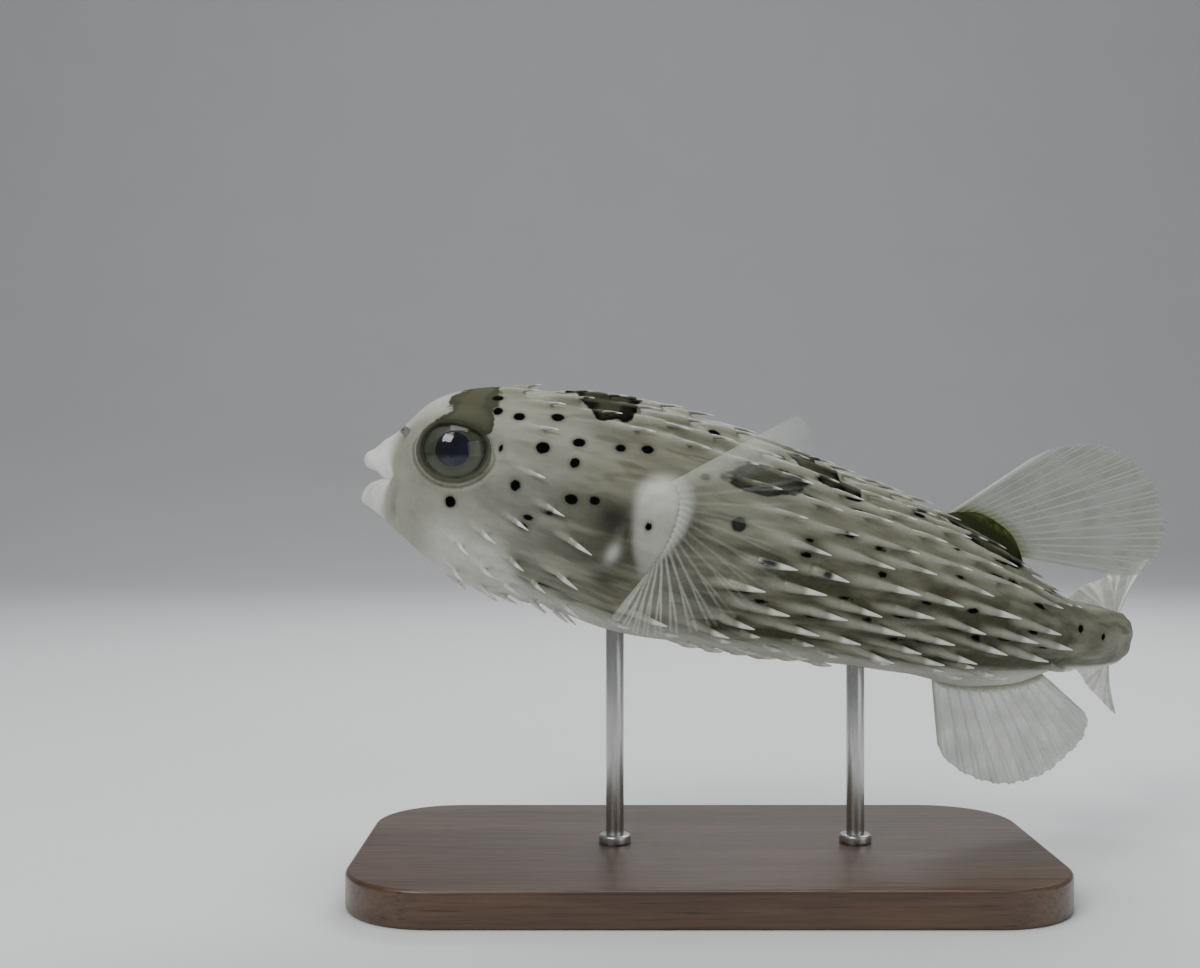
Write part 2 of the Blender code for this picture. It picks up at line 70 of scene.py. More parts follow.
# The pose and the body's sections, as the solids have them
LIPS_AT = np.array((-0.095, 0.0, 0.112))
NOSE_UP = math.radians(11.6)
BODY_LENGTH = 0.258
BEND_FROM = 0.118
BEND_ANGLE = math.radians(78.0)
SQUARENESS = 2.25
SECTIONS = np.array((  # place on the spine, half width, top, underside and height of the widest line
    (0.003, 0.0058, 0.0106, -0.0062, 0.0015),
    (0.008, 0.0126, 0.0153, -0.0097, 0.0025),
    (0.015, 0.0200, 0.0246, -0.0138, 0.0050),
    (0.024, 0.0252, 0.0300, -0.0190, 0.0060),
    (0.036, 0.0282, 0.0334, -0.0234, 0.0050),
    (0.055, 0.0313, 0.0356, -0.0244, 0.0030),
    (0.078, 0.0335, 0.0362, -0.0280, 0.0010),
    (0.102, 0.0328, 0.0340, -0.0272, 0.0005),
    (0.130, 0.0292, 0.0288, -0.0252, 0.0005),
    (0.158, 0.0246, 0.0234, -0.0232, 0.0000),
    (0.176, 0.0206, 0.0174, -0.0214, -0.0010),
    (0.190, 0.0168, 0.0114, -0.0188, -0.0025),
    (0.206, 0.0125, 0.0068, -0.0151, -0.0035),
    (0.226, 0.0085, 0.0060, -0.0124, -0.0032),
    (0.250, 0.0052, 0.0050, -0.0098, -0.0024),
    (0.258, 0.0040, 0.0046, -0.0092, -0.0023),
))
SKIN_END = 0.2475
SKIN_CAP = 0.0058  # how far the rounded end of the skin reaches past SKIN_END

# Lips: the middle of each one's front, its corner, and its radius at both
UPPER_LIP = ((0.0024, 0.0056), (0.0085, 0.0090, 0.0028), (0.0028, 0.0021))
LOWER_LIP = ((0.0033, -0.0051), (0.0085, 0.0090, 0.0004), (0.0022, 0.0022))
MOUTH_CORNER = (0.0098, 0.0014)  # place along the body and height of the middle of the corner's fold
# Behind the lips, the face's first rings: places on the spine at the mouth's corners, over it and under it
FACE_RINGS = ((0.0106, 0.0043, 0.0074), (0.0134, 0.0076, 0.0100), (0.0168, 0.0125, 0.0135))

# Each tooth plate: front and corner of its bow, and how far its gum and its edge lie from that
BEAK = {
    "beak_upper": ((0.0070, 0.0023), (0.0122, 0.0046, 0.0020), 0.0021, -0.0007),
    "beak_lower": ((0.0072, -0.0006), (0.0122, 0.0046, -0.0003), -0.0032, 0.0003),
}

EYE_CENTRE = np.array((0.0268, 0.0175, 0.0119))
EYE_RADIUS = 0.0109
EYE_TURN = (math.radians(6.0), math.radians(7.0))  # how far the eye looks forward and up
# Half the opening's length, its height over the eye's middle and its depth under it
EYE_OPENING = (0.0087, 0.0064, 0.0075)
EYEBALL_RADIUS = 0.01055
IRIS_EDGE = math.radians(50.0)
CORNEA_EDGE = math.radians(70.0)
CORNEA_THICKNESS = 0.00025
NOSTRIL = (0.0118, 0.0150)
NOSTRIL_RADIUS = 0.0013
# From the hollow's floor out over the rim and down into the skin: share of the way, height and width
NOSTRIL_SHARES = (0.0, 0.18, 0.40, 0.50, 0.62, 0.90, 1.0)
NOSTRIL_HEIGHTS = (0.45, 0.50, 0.92, 1.0, 0.93, -0.4, -0.5)
NOSTRIL_WIDTHS = (0.0, 0.34, 0.52, 0.66, 0.80, 1.25, 0.0)

# Spines: how far each kind reaches along the skin and how high its tip stands, and where none grow
HEAD_END = 0.070
TRUNK_PANEL = 0.00716
TRUNK_SPINE = (0.0112, 0.0021)
HEAD_SPINE = (0.0068, 0.0015)
BELLY_SPINE = (0.0064, 0.0005)
BELLY_BELOW = -0.7
SPINE_ROWS = 32
SPINES_APART = 0.0074
BACK_SPINES_FROM = 0.036
BELLY_SPINES_FROM = 0.028
SPINES_END = 0.196
SPINES_SHRINK = (0.078, 0.100)
EYE_CLEAR = 0.0165
BARE_FLANK = (0.060, 0.100, -0.0170, 0.0190)
RODS_ON = (0.078, 0.146)
ROD_CLEAR = (0.012, -0.9)
ROUND_SPOT = 1.45  # a spot that is stretched less than this is round
SPOT_CLEAR = (8.0, 4.0, 4.6)  # no spines this many millimetres ahead of one and behind, and degrees beside it
DASH_CLEAR = 4.0 * MM  # no dashes this near to any spot

# Fins: their fleshy roots, then the fins themselves
DORSAL_ROOT = (0.161, 0.191, 0.26, 0.0060)
ANAL_ROOT = (0.163, 0.209, 0.18, 0.0024)
ROOT_CLEAR = (0.003, 0.1)
ROOT_EDGE = 0.0006
KEEL_RAYS = (0.12, 0.92)
PECTORAL_ROOT = (0.0812, 0.0032)
PECTORAL_ROOT_Z = (-0.0095, 0.0165)
PECTORAL_ROOT_HALF = (0.0032, 0.0082)
PECTORAL_RAYS = 0.92

DORSAL_FIN = ((44.0, 1.0), (0.026, 0.035), 0.0245)
ANAL_FIN = ((-72.0, -24.0), (0.018, 0.022), 0.0135)
CAUDAL_FIN = ((38.0, -38.0), (0.034, 0.033), 0.005)
PECTORAL_FIN = ((40.0, -120.0), (0.037, 0.0150), 0.005)
PECTORAL_SPREAD = {-1: (20.0, 32.0, 42.0), 1: (18.0, 16.0, 32.0)}
CAUDAL_CUP = (math.radians(-16.0), math.radians(26.0))
CAUDAL_FIRST_TURN = 0.4
CAUDAL_ROOT = (0.2537, 0.0034, -0.0084)
FIN_ROUNDNESS = 0.6

BASE_SIZE = (0.190, 0.100, 0.010)
BASE_CORNER = 0.024
ROD_RADIUS = 0.0025
ROD_FOOT = 0.0040
ROD_IN_BODY = 0.0045
ROD_BEVEL = 0.0003
COLLAR_HEIGHT = 0.0026
COLLAR_SUNK = 0.0002
COLLAR_BEVEL = 0.0006
BEVEL_OVER = math.radians(50)  # only edges sharper than this are rounded

# The stage: its floor's length, the bend up into its wall, its width and what lies before the fish
FLOOR_LENGTH = 5.2
WALL_BEND = 0.9
WALL_RISE = 2.8
STAGE_WIDTH = 13.0
STAGE_FRONT = 4.0
CAMERA_AT = (-0.0284, -0.420, 0.1103)
LAMPS_AIM = (-0.02, 0.0, 0.10)
LAMPS = (  # name, place, size, power and colour
    ("key_light", (-0.55, -0.75, 0.95), (0.55, 0.45), 7.0, (1.0, 0.985, 0.96)),
    ("fill_light", (0.95, -0.80, 0.45), (0.9, 0.9), 2.4, (0.93, 0.97, 1.0)),
    ("rim_light", (0.25, 0.75, 0.85), (0.7, 0.4), 6.0, (1.0, 1.0, 1.0)),
    ("top_light", (0.0, 0.0, 1.25), (0.8, 0.8), 6.0, (0.97, 0.99, 1.0)),
)

# Dark spots: place on the spine and radius in millimetres, angle down from the back in degrees, stretch along
SPOTS = (
    (34, 33, 1.35, 1.2), (35, 46, 1.45, 0.9), (38, 70, 1.0, 0.55), (41, 48, 1.5, 1.0), (51, 44, 1.5, 1.2),
    (49, 65, 1.65, 1.1), (58, 58, 1.3, 1.3), (58, 69, 1.4, 1.0), (69, 56, 1.2, 1.2), (76, 53, 1.3, 1.3),
    (44, 86, 1.4, 1.0), (59, 85, 1.35, 1.3), (65, 83, 1.2, 1.1), (28, 102, 1.5, 1.0), (49, 97, 0.8, 1.8),
    (48, 102, 0.8, 1.6), (80, 87, 1.1, 0.8), (103, 78, 1.9, 1.0), (112, 90, 0.95, 2.2), (122, 84, 0.7, 2.6),
    (128, 90, 0.8, 1.9), (142, 85, 0.9, 1.3), (132, 69, 0.7, 2.3), (122, 77, 0.55, 2.2), (166, 92, 0.8, 2.2),
    (169, 109, 0.8, 2.0), (203, 79, 1.3, 1.0), (214, 84, 1.1, 1.0), (147, 68, 0.6, 2.4), (160, 56, 0.55, 2.2),
    (50, 10, 1.4, 1.1), (84, 14, 1.5, 1.2), (93, 27, 1.3, 1.3), (103, 8, 1.5, 1.1), (112, 27, 1.2, 1.5),
    (141, 14, 1.3, 1.4), (151, 33, 1.2, 1.5), (152, 4, 1.3, 1.2), (92, 60, 1.0, 1.3), (196, 30, 1.2, 1.3),
)
# Bars over the back: place on the back, further back by this at its ends, half width, angle down of its ends
BARS = (
    (29.0, -1.5, 4.6, 2.6, 66.0),
    (61.5, 3.7, 10.0, -5.0, 40.0),
    (110.5, 20.0, 6.2, -0.8, 43.0),
)
BAR_CORNER = 3.2  # radius, in millimetres, of their rounded corners
FAR = 20.0  # a distance, in millimetres, at which no mark shows
# Blotches: place on the spine, angle down from the back, half length, half width, rise towards the back
BLOTCHES = (
    (109.4, 50.0, 11.4, 5.3, 0.24),
    (171.5, 0.0, 14.5, 15.5, 0.0),
)


# Shapes of the body


def rising(x, start, run):
    """0 before start, 1 from start + run on, and a soft step between."""
    share = np.clip((x - start) / run, 0.0, 1.0)
    return share * share * (3 - 2 * share)


def falling(x, start, run):
    """1 before start, 0 from start + run on, and a soft step between."""
    return 1 - rising(x, start, run)


def hump(x, middle, width):
    return np.exp(-(((x - middle) / width) ** 2))


def wrapped(angle):
    """The same angle, brought to within half a turn of 0."""
    return (angle + math.pi) % math.tau - math.pi


def turned(s):
    """How far the spine has turned to the right at a place on it."""
    along = np.clip(s - BEND_FROM, 0.0, None) / (BODY_LENGTH - BEND_FROM)
    return BEND_ANGLE * along * along


SPINE_STEP = 0.001
SPINE_PLACES = np.arange(0, 330) * SPINE_STEP
SPINE_HEADINGS = turned(SPINE_PLACES[1:] - SPINE_STEP / 2)
SPINE_X = np.concatenate([[0.0], np.cumsum(np.cos(SPINE_HEADINGS)) * SPINE_STEP])
SPINE_Y = np.concatenate([[0.0], np.cumsum(np.sin(SPINE_HEADINGS)) * SPINE_STEP])


def spine_at(s):
    s = np.asarray(s, float)
    return np.stack([np.interp(s, SPINE_PLACES, SPINE_X), np.interp(s, SPINE_PLACES, SPINE_Y), 0.0 * s], -1)


def curve(a, b, slope_a, slope_b, t):
    """A smooth curve from a to b that leaves and arrives at these slopes."""
    rise = b - a
    return a + t * rise + t * (1 - t) * ((1 - t) * (slope_a - rise) - t * (slope_b - rise))


def section(s):
    """Half width, top, underside and height of the widest line, on smooth curves through SECTIONS."""
    s = np.asarray(s, float)
    last = len(SECTIONS) - 1
    index = np.clip(np.searchsorted(SECTIONS[:, 0], s) - 1, 0, last - 1)
    a, b = SECTIONS[index], SECTIONS[index + 1]
    before, after = SECTIONS[np.maximum(index - 1, 0)], SECTIONS[np.minimum(index + 2, last)]
    span = b[..., 0] - a[..., 0]
    t = np.clip((s - a[..., 0]) / span, 0.0, 1.0)
    values = []
    for k in range(1, 5):
        slope_a = (b[..., k] - before[..., k]) / (b[..., 0] - before[..., 0]) * span
        slope_b = (after[..., k] - a[..., k]) / (after[..., 0] - a[..., 0]) * span
        values.append(curve(a[..., k], b[..., k], slope_a, slope_b, t))
    return values


def skin_point(s, angle):
    s, angle = np.broadcast_arrays(np.asarray(s, float), np.asarray(angle, float))
    width, top, under, middle = section(s)
    power = 2 / SQUARENESS
    across = np.sign(np.cos(angle)) * np.abs(np.cos(angle)) ** power * width
    rise = np.sign(np.sin(angle)) * np.abs(np.sin(angle)) ** power
    height = np.where(rise > 0, top - middle, middle - under)
    heading = turned(s)
    sideways = np.stack([-np.sin(heading) * across, np.cos(heading) * across, middle + height * rise], -1)
    return spine_at(s) + sideways


def unit(v):
    return v / np.maximum(np.linalg.norm(v, axis=-1, keepdims=True), 1e-12)


def skin_ways(s, angle):
    """How the skin runs along and round the body at a place."""
    along = skin_point(s + NEAR_ALONG, angle) - skin_point(s - NEAR_ALONG, angle)
    around = skin_point(s, angle + NEAR_ROUND) - skin_point(s, angle - NEAR_ROUND)
    return along, around


def skin_normal(s, angle):
    along, around = skin_ways(s, angle)
    return unit(np.cross(around, along))


def over_skin(s, angle, lift):
    return skin_point(s, angle) + skin_normal(s, angle) * np.asarray(lift)[..., None]


def arc_radius(s, angle):
    """Length round the body for each radian of angle at a place on the skin."""
    return np.linalg.norm(skin_ways(s, angle)[1], axis=-1) / (2 * NEAR_ROUND)


def angle_at(s, z, side):
    """The angle where the skin stands at height z, on side 1, the right, or -1, the left."""
    _, top, under, middle = section(s)
    reach = (z - middle) / np.where(z > middle, top - middle, middle - under)
    rise = np.sign(reach) * np.minimum(np.abs(reach), 1.0) ** (SQUARENESS / 2)
    return np.arcsin(rise) if side > 0 else math.pi - np.arcsin(rise)


def below_back(angle):
    """Angle down from the middle of the back, on either side."""
    return np.abs(wrapped(angle - BACK))


def left_sign(angle):
    """1 on the left side and -1 on the right: on both, an angle changed by this times a step goes down."""
    return 1.0 if math.cos(angle) < 0 else -1.0


def in_pose(points):
    """From the fish's own frame to the model's: nose up, over the stand."""
    c, s = math.cos(NOSE_UP), math.sin(NOSE_UP)
    x, y, z = points[..., 0], points[..., 1], points[..., 2]
    return np.stack([x * c + z * s, y, z * c - x * s], -1) + LIPS_AT


# Spines: where they grow


def bears_spine(s, angle):
    point = skin_point(s, angle)
    down = math.degrees(below_back(angle))
    on_back = math.sin(angle) > 0
    if s < (BACK_SPINES_FROM if on_back else BELLY_SPINES_FROM) or s > SPINES_END:
        return False
    if np.linalg.norm((point[0], abs(point[1]), point[2]) - EYE_CENTRE) < EYE_CLEAR:
        return False
    start, end, lowest, highest = BARE_FLANK
    if start < s < end and lowest < point[2] < highest:
        return False
    by_rod = min(abs(s - place) for place in RODS_ON) < ROD_CLEAR[0]
    if by_rod and math.sin(angle) < ROD_CLEAR[1]:
        return False
    ahead, behind, beside = SPOT_CLEAR
    for place, at, _, stretch in SPOTS:
        if stretch < ROUND_SPOT and -behind < place - s / MM < ahead and abs(down - at) < beside:
            return False
    start, end, half_angle, _ = DORSAL_ROOT if on_back else ANAL_ROOT
    by_fin = start - TRUNK_SPINE[0] < s < end + ROOT_CLEAR[0]
    return not (by_fin and abs(math.cos(angle)) < math.sin(half_angle + ROOT_CLEAR[1]))


def spine_shape(s, angle):
    """A spine's reach along the skin, the height of its tip and its lean down from straight back."""
    down = below_back(angle)
    reach, height = TRUNK_SPINE
    if s < HEAD_END:
        share = rising(s, 0.045, 0.03)
        reach = HEAD_SPINE[0] + (TRUNK_SPINE[0] - HEAD_SPINE[0]) * share
        height = HEAD_SPINE[1] + (TRUNK_SPINE[1] - HEAD_SPINE[1]) * share
    elif math.sin(angle) < BELLY_BELOW:
        reach, height = BELLY_SPINE
    throat = rising(down, 1.45, 0.35) * falling(s, 0.055, 0.03)
    height = height * (0.72 + 0.28 * rising(down, 0.5, 0.5)) + 0.0006 * throat
    reach = reach * (1 - 0.18 * throat)
    taper = min(1.0, (SPINES_END + SPINES_SHRINK[0] - s) / SPINES_SHRINK[1])
    return reach * taper, height * taper, left_sign(angle) * (0.20 * throat + 0.05)


def grow_spines():
    """Every spine's place, angle, reach, height over the skin and lean, in staggered rows along the body."""
    draw = np.random.default_rng(11)
    found, points = [], []
    for i in range(-6, 21):
        for j in range(SPINE_ROWS):
            if (i + j) % 2:
                continue
            s = HEAD_END + TRUNK_PANEL * (i + 0.5) + draw.uniform(-1.0, 1.0) * MM
            angle = math.tau * (j + 1.0) / SPINE_ROWS + draw.uniform(-0.035, 0.035)
            change = draw.uniform(-1.0, 1.0, 3)
            if not bears_spine(s, angle):
                continue
            here = skin_point(s, angle)
            if points and np.min(np.linalg.norm(np.array(points) - here, axis=1)) < SPINES_APART:
                continue
            points.append(here)
            reach, height, lean = spine_shape(s, angle)
            reach = reach * (1 + 0.12 * change[1])
            height = height * (1 + 0.2 * change[2])
            found.append((s, angle, reach, height, lean + 0.07 * change[0]))
    return np.array(found)


SPINES = grow_spines()


def sheath_height(s, angle):
    """How far the skin is drawn up into a ridge round each spine's root: 0 to 1."""
    s, angle = np.broadcast_arrays(s, angle)
    height = np.zeros(s.shape)
    for place, at, reach, _, lean in SPINES:
        near = np.abs(s - place) < 1.4 * reach
        along = (s[near] - place) / reach
        round_it = wrapped(angle[near] - at) * float(arc_radius(place, at)) / reach
        x = along * math.cos(lean) + round_it * math.sin(lean)
        y = round_it * math.cos(lean) - along * math.sin(lean)
        rise = rising(x, -1.0, 1.30) * falling(x, 0.36, 0.20)
        width = 0.19 - 0.08 * rising(x, -0.5, 0.9)
        ridge = rise * hump(y, 0.0, width)
        height[near] = np.maximum(height[near], ridge * (0.55 + 0.45 * reach / TRUNK_SPINE[0]))
    return height


# Markings: signed distances, in millimetres, to the edges of dark marks


def dark_marks():
    """Place, angle, radius in millimetres and stretch of the spots, and of the dashes beside some spines,
    mostly just under them: partly dark marks of the hide and partly painted shadow of the spines.
    """
    draw = np.random.default_rng(5)
    marks = []
    for side in (-1, 1):
        for place, down, radius, stretch in SPOTS:
            # The right side's spots are the left side's, each moved a little
            along, around = draw.uniform(-1.0, 1.0, 2) * (0.0 if side < 0 else 1.0)
            at = BACK - side * math.radians(down + 3 * around)
            marks.append((place * MM + along * 0.0016, at, radius, stretch))
    spots = [skin_point(place, at) for place, at, _, _ in marks]
    # Dashes by some flank spines: partly the hide's own marks and partly painted shadow cast by the spines
    for place, at, reach, _, _ in SPINES:
        chance, under, length = draw.uniform(0.0, 1.0, 3)
        if not (0.9 < below_back(at) < 2.35 and place > 0.050 and chance < 0.62):
            continue
        at += left_sign(at) * (0.0016 if under < 0.78 else -0.0017) / float(arc_radius(place, at))
        here = skin_point(place, at)
        if min(np.linalg.norm(spot - here) for spot in spots) < DASH_CLEAR:
            continue
        marks.append((place + reach * (0.18 + 0.3 * length), at, 0.48, 3.6 + 2.6 * length))
    return marks


DARK_MARKS = dark_marks()


def spot_distance(s, angle):
    """Distance to the nearest spot or dash."""
    points = skin_point(s, angle)
    found = np.full(points.shape[:-1], FAR)
    for place, at, radius, stretch in DARK_MARKS:
        offset = points - skin_point(place, at)
        run = offset @ unit(skin_ways(place, at)[0])
        beside = np.maximum((offset**2).sum(-1) - run**2, 0.0)
        found = np.minimum(found, np.sqrt((run / stretch) ** 2 + beside) / MM - radius)
    return found


def blotch_distance(s, angle):
    """Distance to the nearest bar or blotch of the back."""
    down = below_back(angle)
    width, top, under, _ = section(s)
    round_body = (width + (top - under) / 2) / 2
    found = np.full(np.broadcast(s, angle).shape, FAR)
    wavy = 0.75 * np.sin(5 * angle + 900 * s) + 0.5 * np.sin(11 * angle - 520 * s)
    for place, back, half, wider, ends in BARS:
        share = down / math.radians(ends)
        middle = place * MM + back * MM * share
        inside = np.abs(s - middle) / MM - (half + wider * share)
        past = (down - math.radians(ends)) * round_body / MM
        inner = np.stack([inside, past]) + BAR_CORNER
        rounded = np.hypot(*np.maximum(inner, 0.0)) + np.minimum(inner.max(axis=0), 0.0) - BAR_CORNER
        found = np.minimum(found, rounded + wavy)
    for place, at, length, half, rise in BLOTCHES:
        x = (s / MM - place) / length
        y = ((down - math.radians(at)) * round_body / MM + rise * (s / MM - place)) / half
        found = np.minimum(found, (np.sqrt(x**2 + y**2) - 1) * min(length, half) + 0.35 * wavy)
    return found


# Pieces and how they are made


def select_only(piece=None):
    bpy.ops.object.select_all(action="DESELECT")
    if piece is not None:
        piece.select_set(True)
        bpy.context.view_layer.objects.active = piece


def add_primitive(name, kind, **options):
    select_only()
    getattr(bpy.ops.mesh, f"primitive_{kind}_add")(**options)
    piece = bpy.context.object
    piece.name = name
    piece.data.name = name
    return piece


def apply_modifier(piece, kind, **settings):
    select_only(piece)
    modifier = piece.modifiers.new(kind.lower(), kind)
    for key, value in settings.items():
        setattr(modifier, key, value)
    bpy.ops.object.modifier_apply(modifier=modifier.name)


def points_of(piece):
    points = np.empty(len(piece.data.vertices) * 3)
    piece.data.vertices.foreach_get("co", points)
    return points.reshape(-1, 3)


def place_points(piece, points):
    piece.data.vertices.foreach_set("co", np.ascontiguousarray(points, np.float32).ravel())
    piece.data.update()


def keep_attribute(piece, name, columns):
    """Three numbers at each point, for the piece's material."""
    kept = piece.data.attributes.new(name, "FLOAT_VECTOR", "POINT")
    values = np.stack([np.broadcast_to(c, len(piece.data.vertices)) for c in columns], -1)
    kept.data.foreach_set("vector", np.ascontiguousarray(values, np.float32).ravel())


def keep_map(piece, uv):
    """The piece's UV map, from one pair of numbers for each corner of its faces."""
    while piece.data.uv_layers:
        piece.data.uv_layers.remove(piece.data.uv_layers[0])
    kept = piece.data.uv_layers.new(name="OFBake")
    kept.data.foreach_set("uv", np.ascontiguousarray(uv, np.float32).ravel())


def map_of(piece):
    uv = np.empty(len(piece.data.loops) * 2)
    piece.data.uv_layers.active.data.foreach_get("uv", uv)
    return uv.reshape(-1, 2)


def add_ball(name, columns, rings):
    """A unit ball, with each point's angle from its top and its turn round the upright axis."""
    ball = add_primitive(name, "uv_sphere", segments=columns, ring_count=rings, radius=1.0)
    x, y, z = points_of(ball).T
    return ball, np.arccos(np.clip(z, -1, 1)), np.arctan2(y, x)


def bevel(piece, width, segments):
    limit = {"limit_method": "ANGLE", "angle_limit": BEVEL_OVER}
    apply_modifier(piece, "BEVEL", width=width, segments=segments, **limit)


def face_out(piece):
    """Turns the faces outwards: the volume inside a closed mesh is then above 0."""
    piece.data.calc_loop_triangles()
    triangles = np.empty(len(piece.data.loop_triangles) * 3, np.int64)
    piece.data.loop_triangles.foreach_get("vertices", triangles)
    a, b, c = np.moveaxis(points_of(piece)[triangles.reshape(-1, 3)], 1, 0)
    if (a * np.cross(b, c)).sum() > 0:
        return
    select_only(piece)
    bpy.ops.object.mode_set(mode="EDIT")
    bpy.ops.mesh.select_all(action="SELECT")
    bpy.ops.mesh.flip_normals()
    bpy.ops.object.mode_set(mode="OBJECT")


def finish_piece(piece, finish, slot, *nodes, angle=None):
    """The last steps of every piece: its material, shading, body and the solids that it stands for. The slot
    is not used.
    """
    piece.data.materials.clear()
    piece.data.materials.append(finish)
    select_only(piece)
    if angle is None:
        bpy.ops.object.shade_smooth()
    else:
        bpy.ops.object.shade_smooth_by_angle(angle=math.radians(angle))
    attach(piece, "root")
    if nodes:
        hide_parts(*nodes)


# Materials


class Tree:
    """Adds nodes to a material or a group. An input is a number, a colour or another node's socket."""

    def __init__(self, tree):
        self.tree = tree

    def add(self, kind, settings=(), **inputs):
        node = self.tree.nodes.new("ShaderNode" + kind)
        for key, value in dict(settings).items():
            setattr(node, key, value)
        self.fill(node, **inputs)
        return node

    def fill(self, node, **inputs):
        for key, value in inputs.items():
            self.put(node.inputs[key.replace("_", " ")], value)

    def put(self, socket, value):
        if isinstance(value, bpy.types.NodeSocket):
            self.tree.links.new(value, socket)
        elif isinstance(value, tuple) and len(value) == 3 and socket.type == "RGBA":
            socket.default_value = (*value, 1.0)
        else:
            socket.default_value = value

    def maths(self, operation, *values):
        node = self.add("Math", {"operation": operation})
        for socket, value in zip(node.inputs, values):
            self.put(socket, value)
        return node.outputs[0]

    def times(self, first, second):
        return self.maths("MULTIPLY", first, second)

    def fray(self, distance, noise, depth):
        """A distance made uneven by noise, which is about 0.5."""
        return self.maths("MULTIPLY_ADD", self.maths("SUBTRACT", noise, 0.5), depth, distance)

    def step(self, value, low, high, start=0.0, end=1.0):
        """A soft step from start to end as the value goes from low to high."""
        node = self.add("MapRange", {"interpolation_type": "SMOOTHSTEP"})
        for socket, given in zip(node.inputs, (value, low, high, start, end)):
            self.put(socket, given)
        return node.outputs[0]

    def mix(self, share, first, second):
        node = self.add("Mix", {"data_type": "RGBA", "clamp_factor": True})
        for index, value in ((0, share), (6, first), (7, second)):
            self.put(node.inputs[index], value)
        return node.outputs[2]

    def place(self, stretch=(1.0, 1.0, 1.0), turn=(0.0, 0.0, 0.0)):
        """Object coordinates, turned and stretched."""
        here = self.add("TexCoord").outputs["Object"]
        return self.add("Mapping", Vector=here, Scale=stretch, Rotation=turn).outputs[0]

    def noise(self, vector, scale, detail=2.0, roughness=0.5):
        node = self.add("TexNoise", Vector=vector, Scale=scale, Detail=detail, Roughness=roughness)
        return node.outputs["Fac"]

    def cells(self, vector, scale):
        return self.add("TexVoronoi", Vector=vector, Scale=scale).outputs["Distance"]

    def attribute(self, name):
        """The three numbers of a point attribute."""
        made = self.add("Attribute", {"attribute_name": name})
        return self.add("SeparateXYZ", Vector=made.outputs["Vector"]).outputs

    def bump(self, height, strength, distance):
        return self.add("Bump", Height=height, Strength=strength, Distance=distance).outputs[0]

    def group(self, tree, **inputs):
        return self.add("Group", {"node_tree": tree}, **inputs).outputs


def new_material(name):
    made = bpy.data.materials.new(name)
    made.use_nodes = True
    shader = made.node_tree.nodes["Principled BSDF"]
    return made, Tree(made.node_tree), shader


def new_group(name, inputs, outputs):
    """An empty node group with named sockets, and the helpers, given values and end to fill it with."""
    tree = bpy.data.node_groups.new(name, "ShaderNodeTree")
    for title, kind, value in inputs:
        socket = tree.interface.new_socket(title, in_out="INPUT", socket_type="NodeSocket" + kind)
        socket.default_value = (*value, 1.0) if kind == "Color" else value
    for title, kind in outputs:
        tree.interface.new_socket(title, in_out="OUTPUT", socket_type="NodeSocket" + kind)
    return tree, Tree(tree), tree.nodes.new("NodeGroupInput").outputs, tree.nodes.new("NodeGroupOutput")


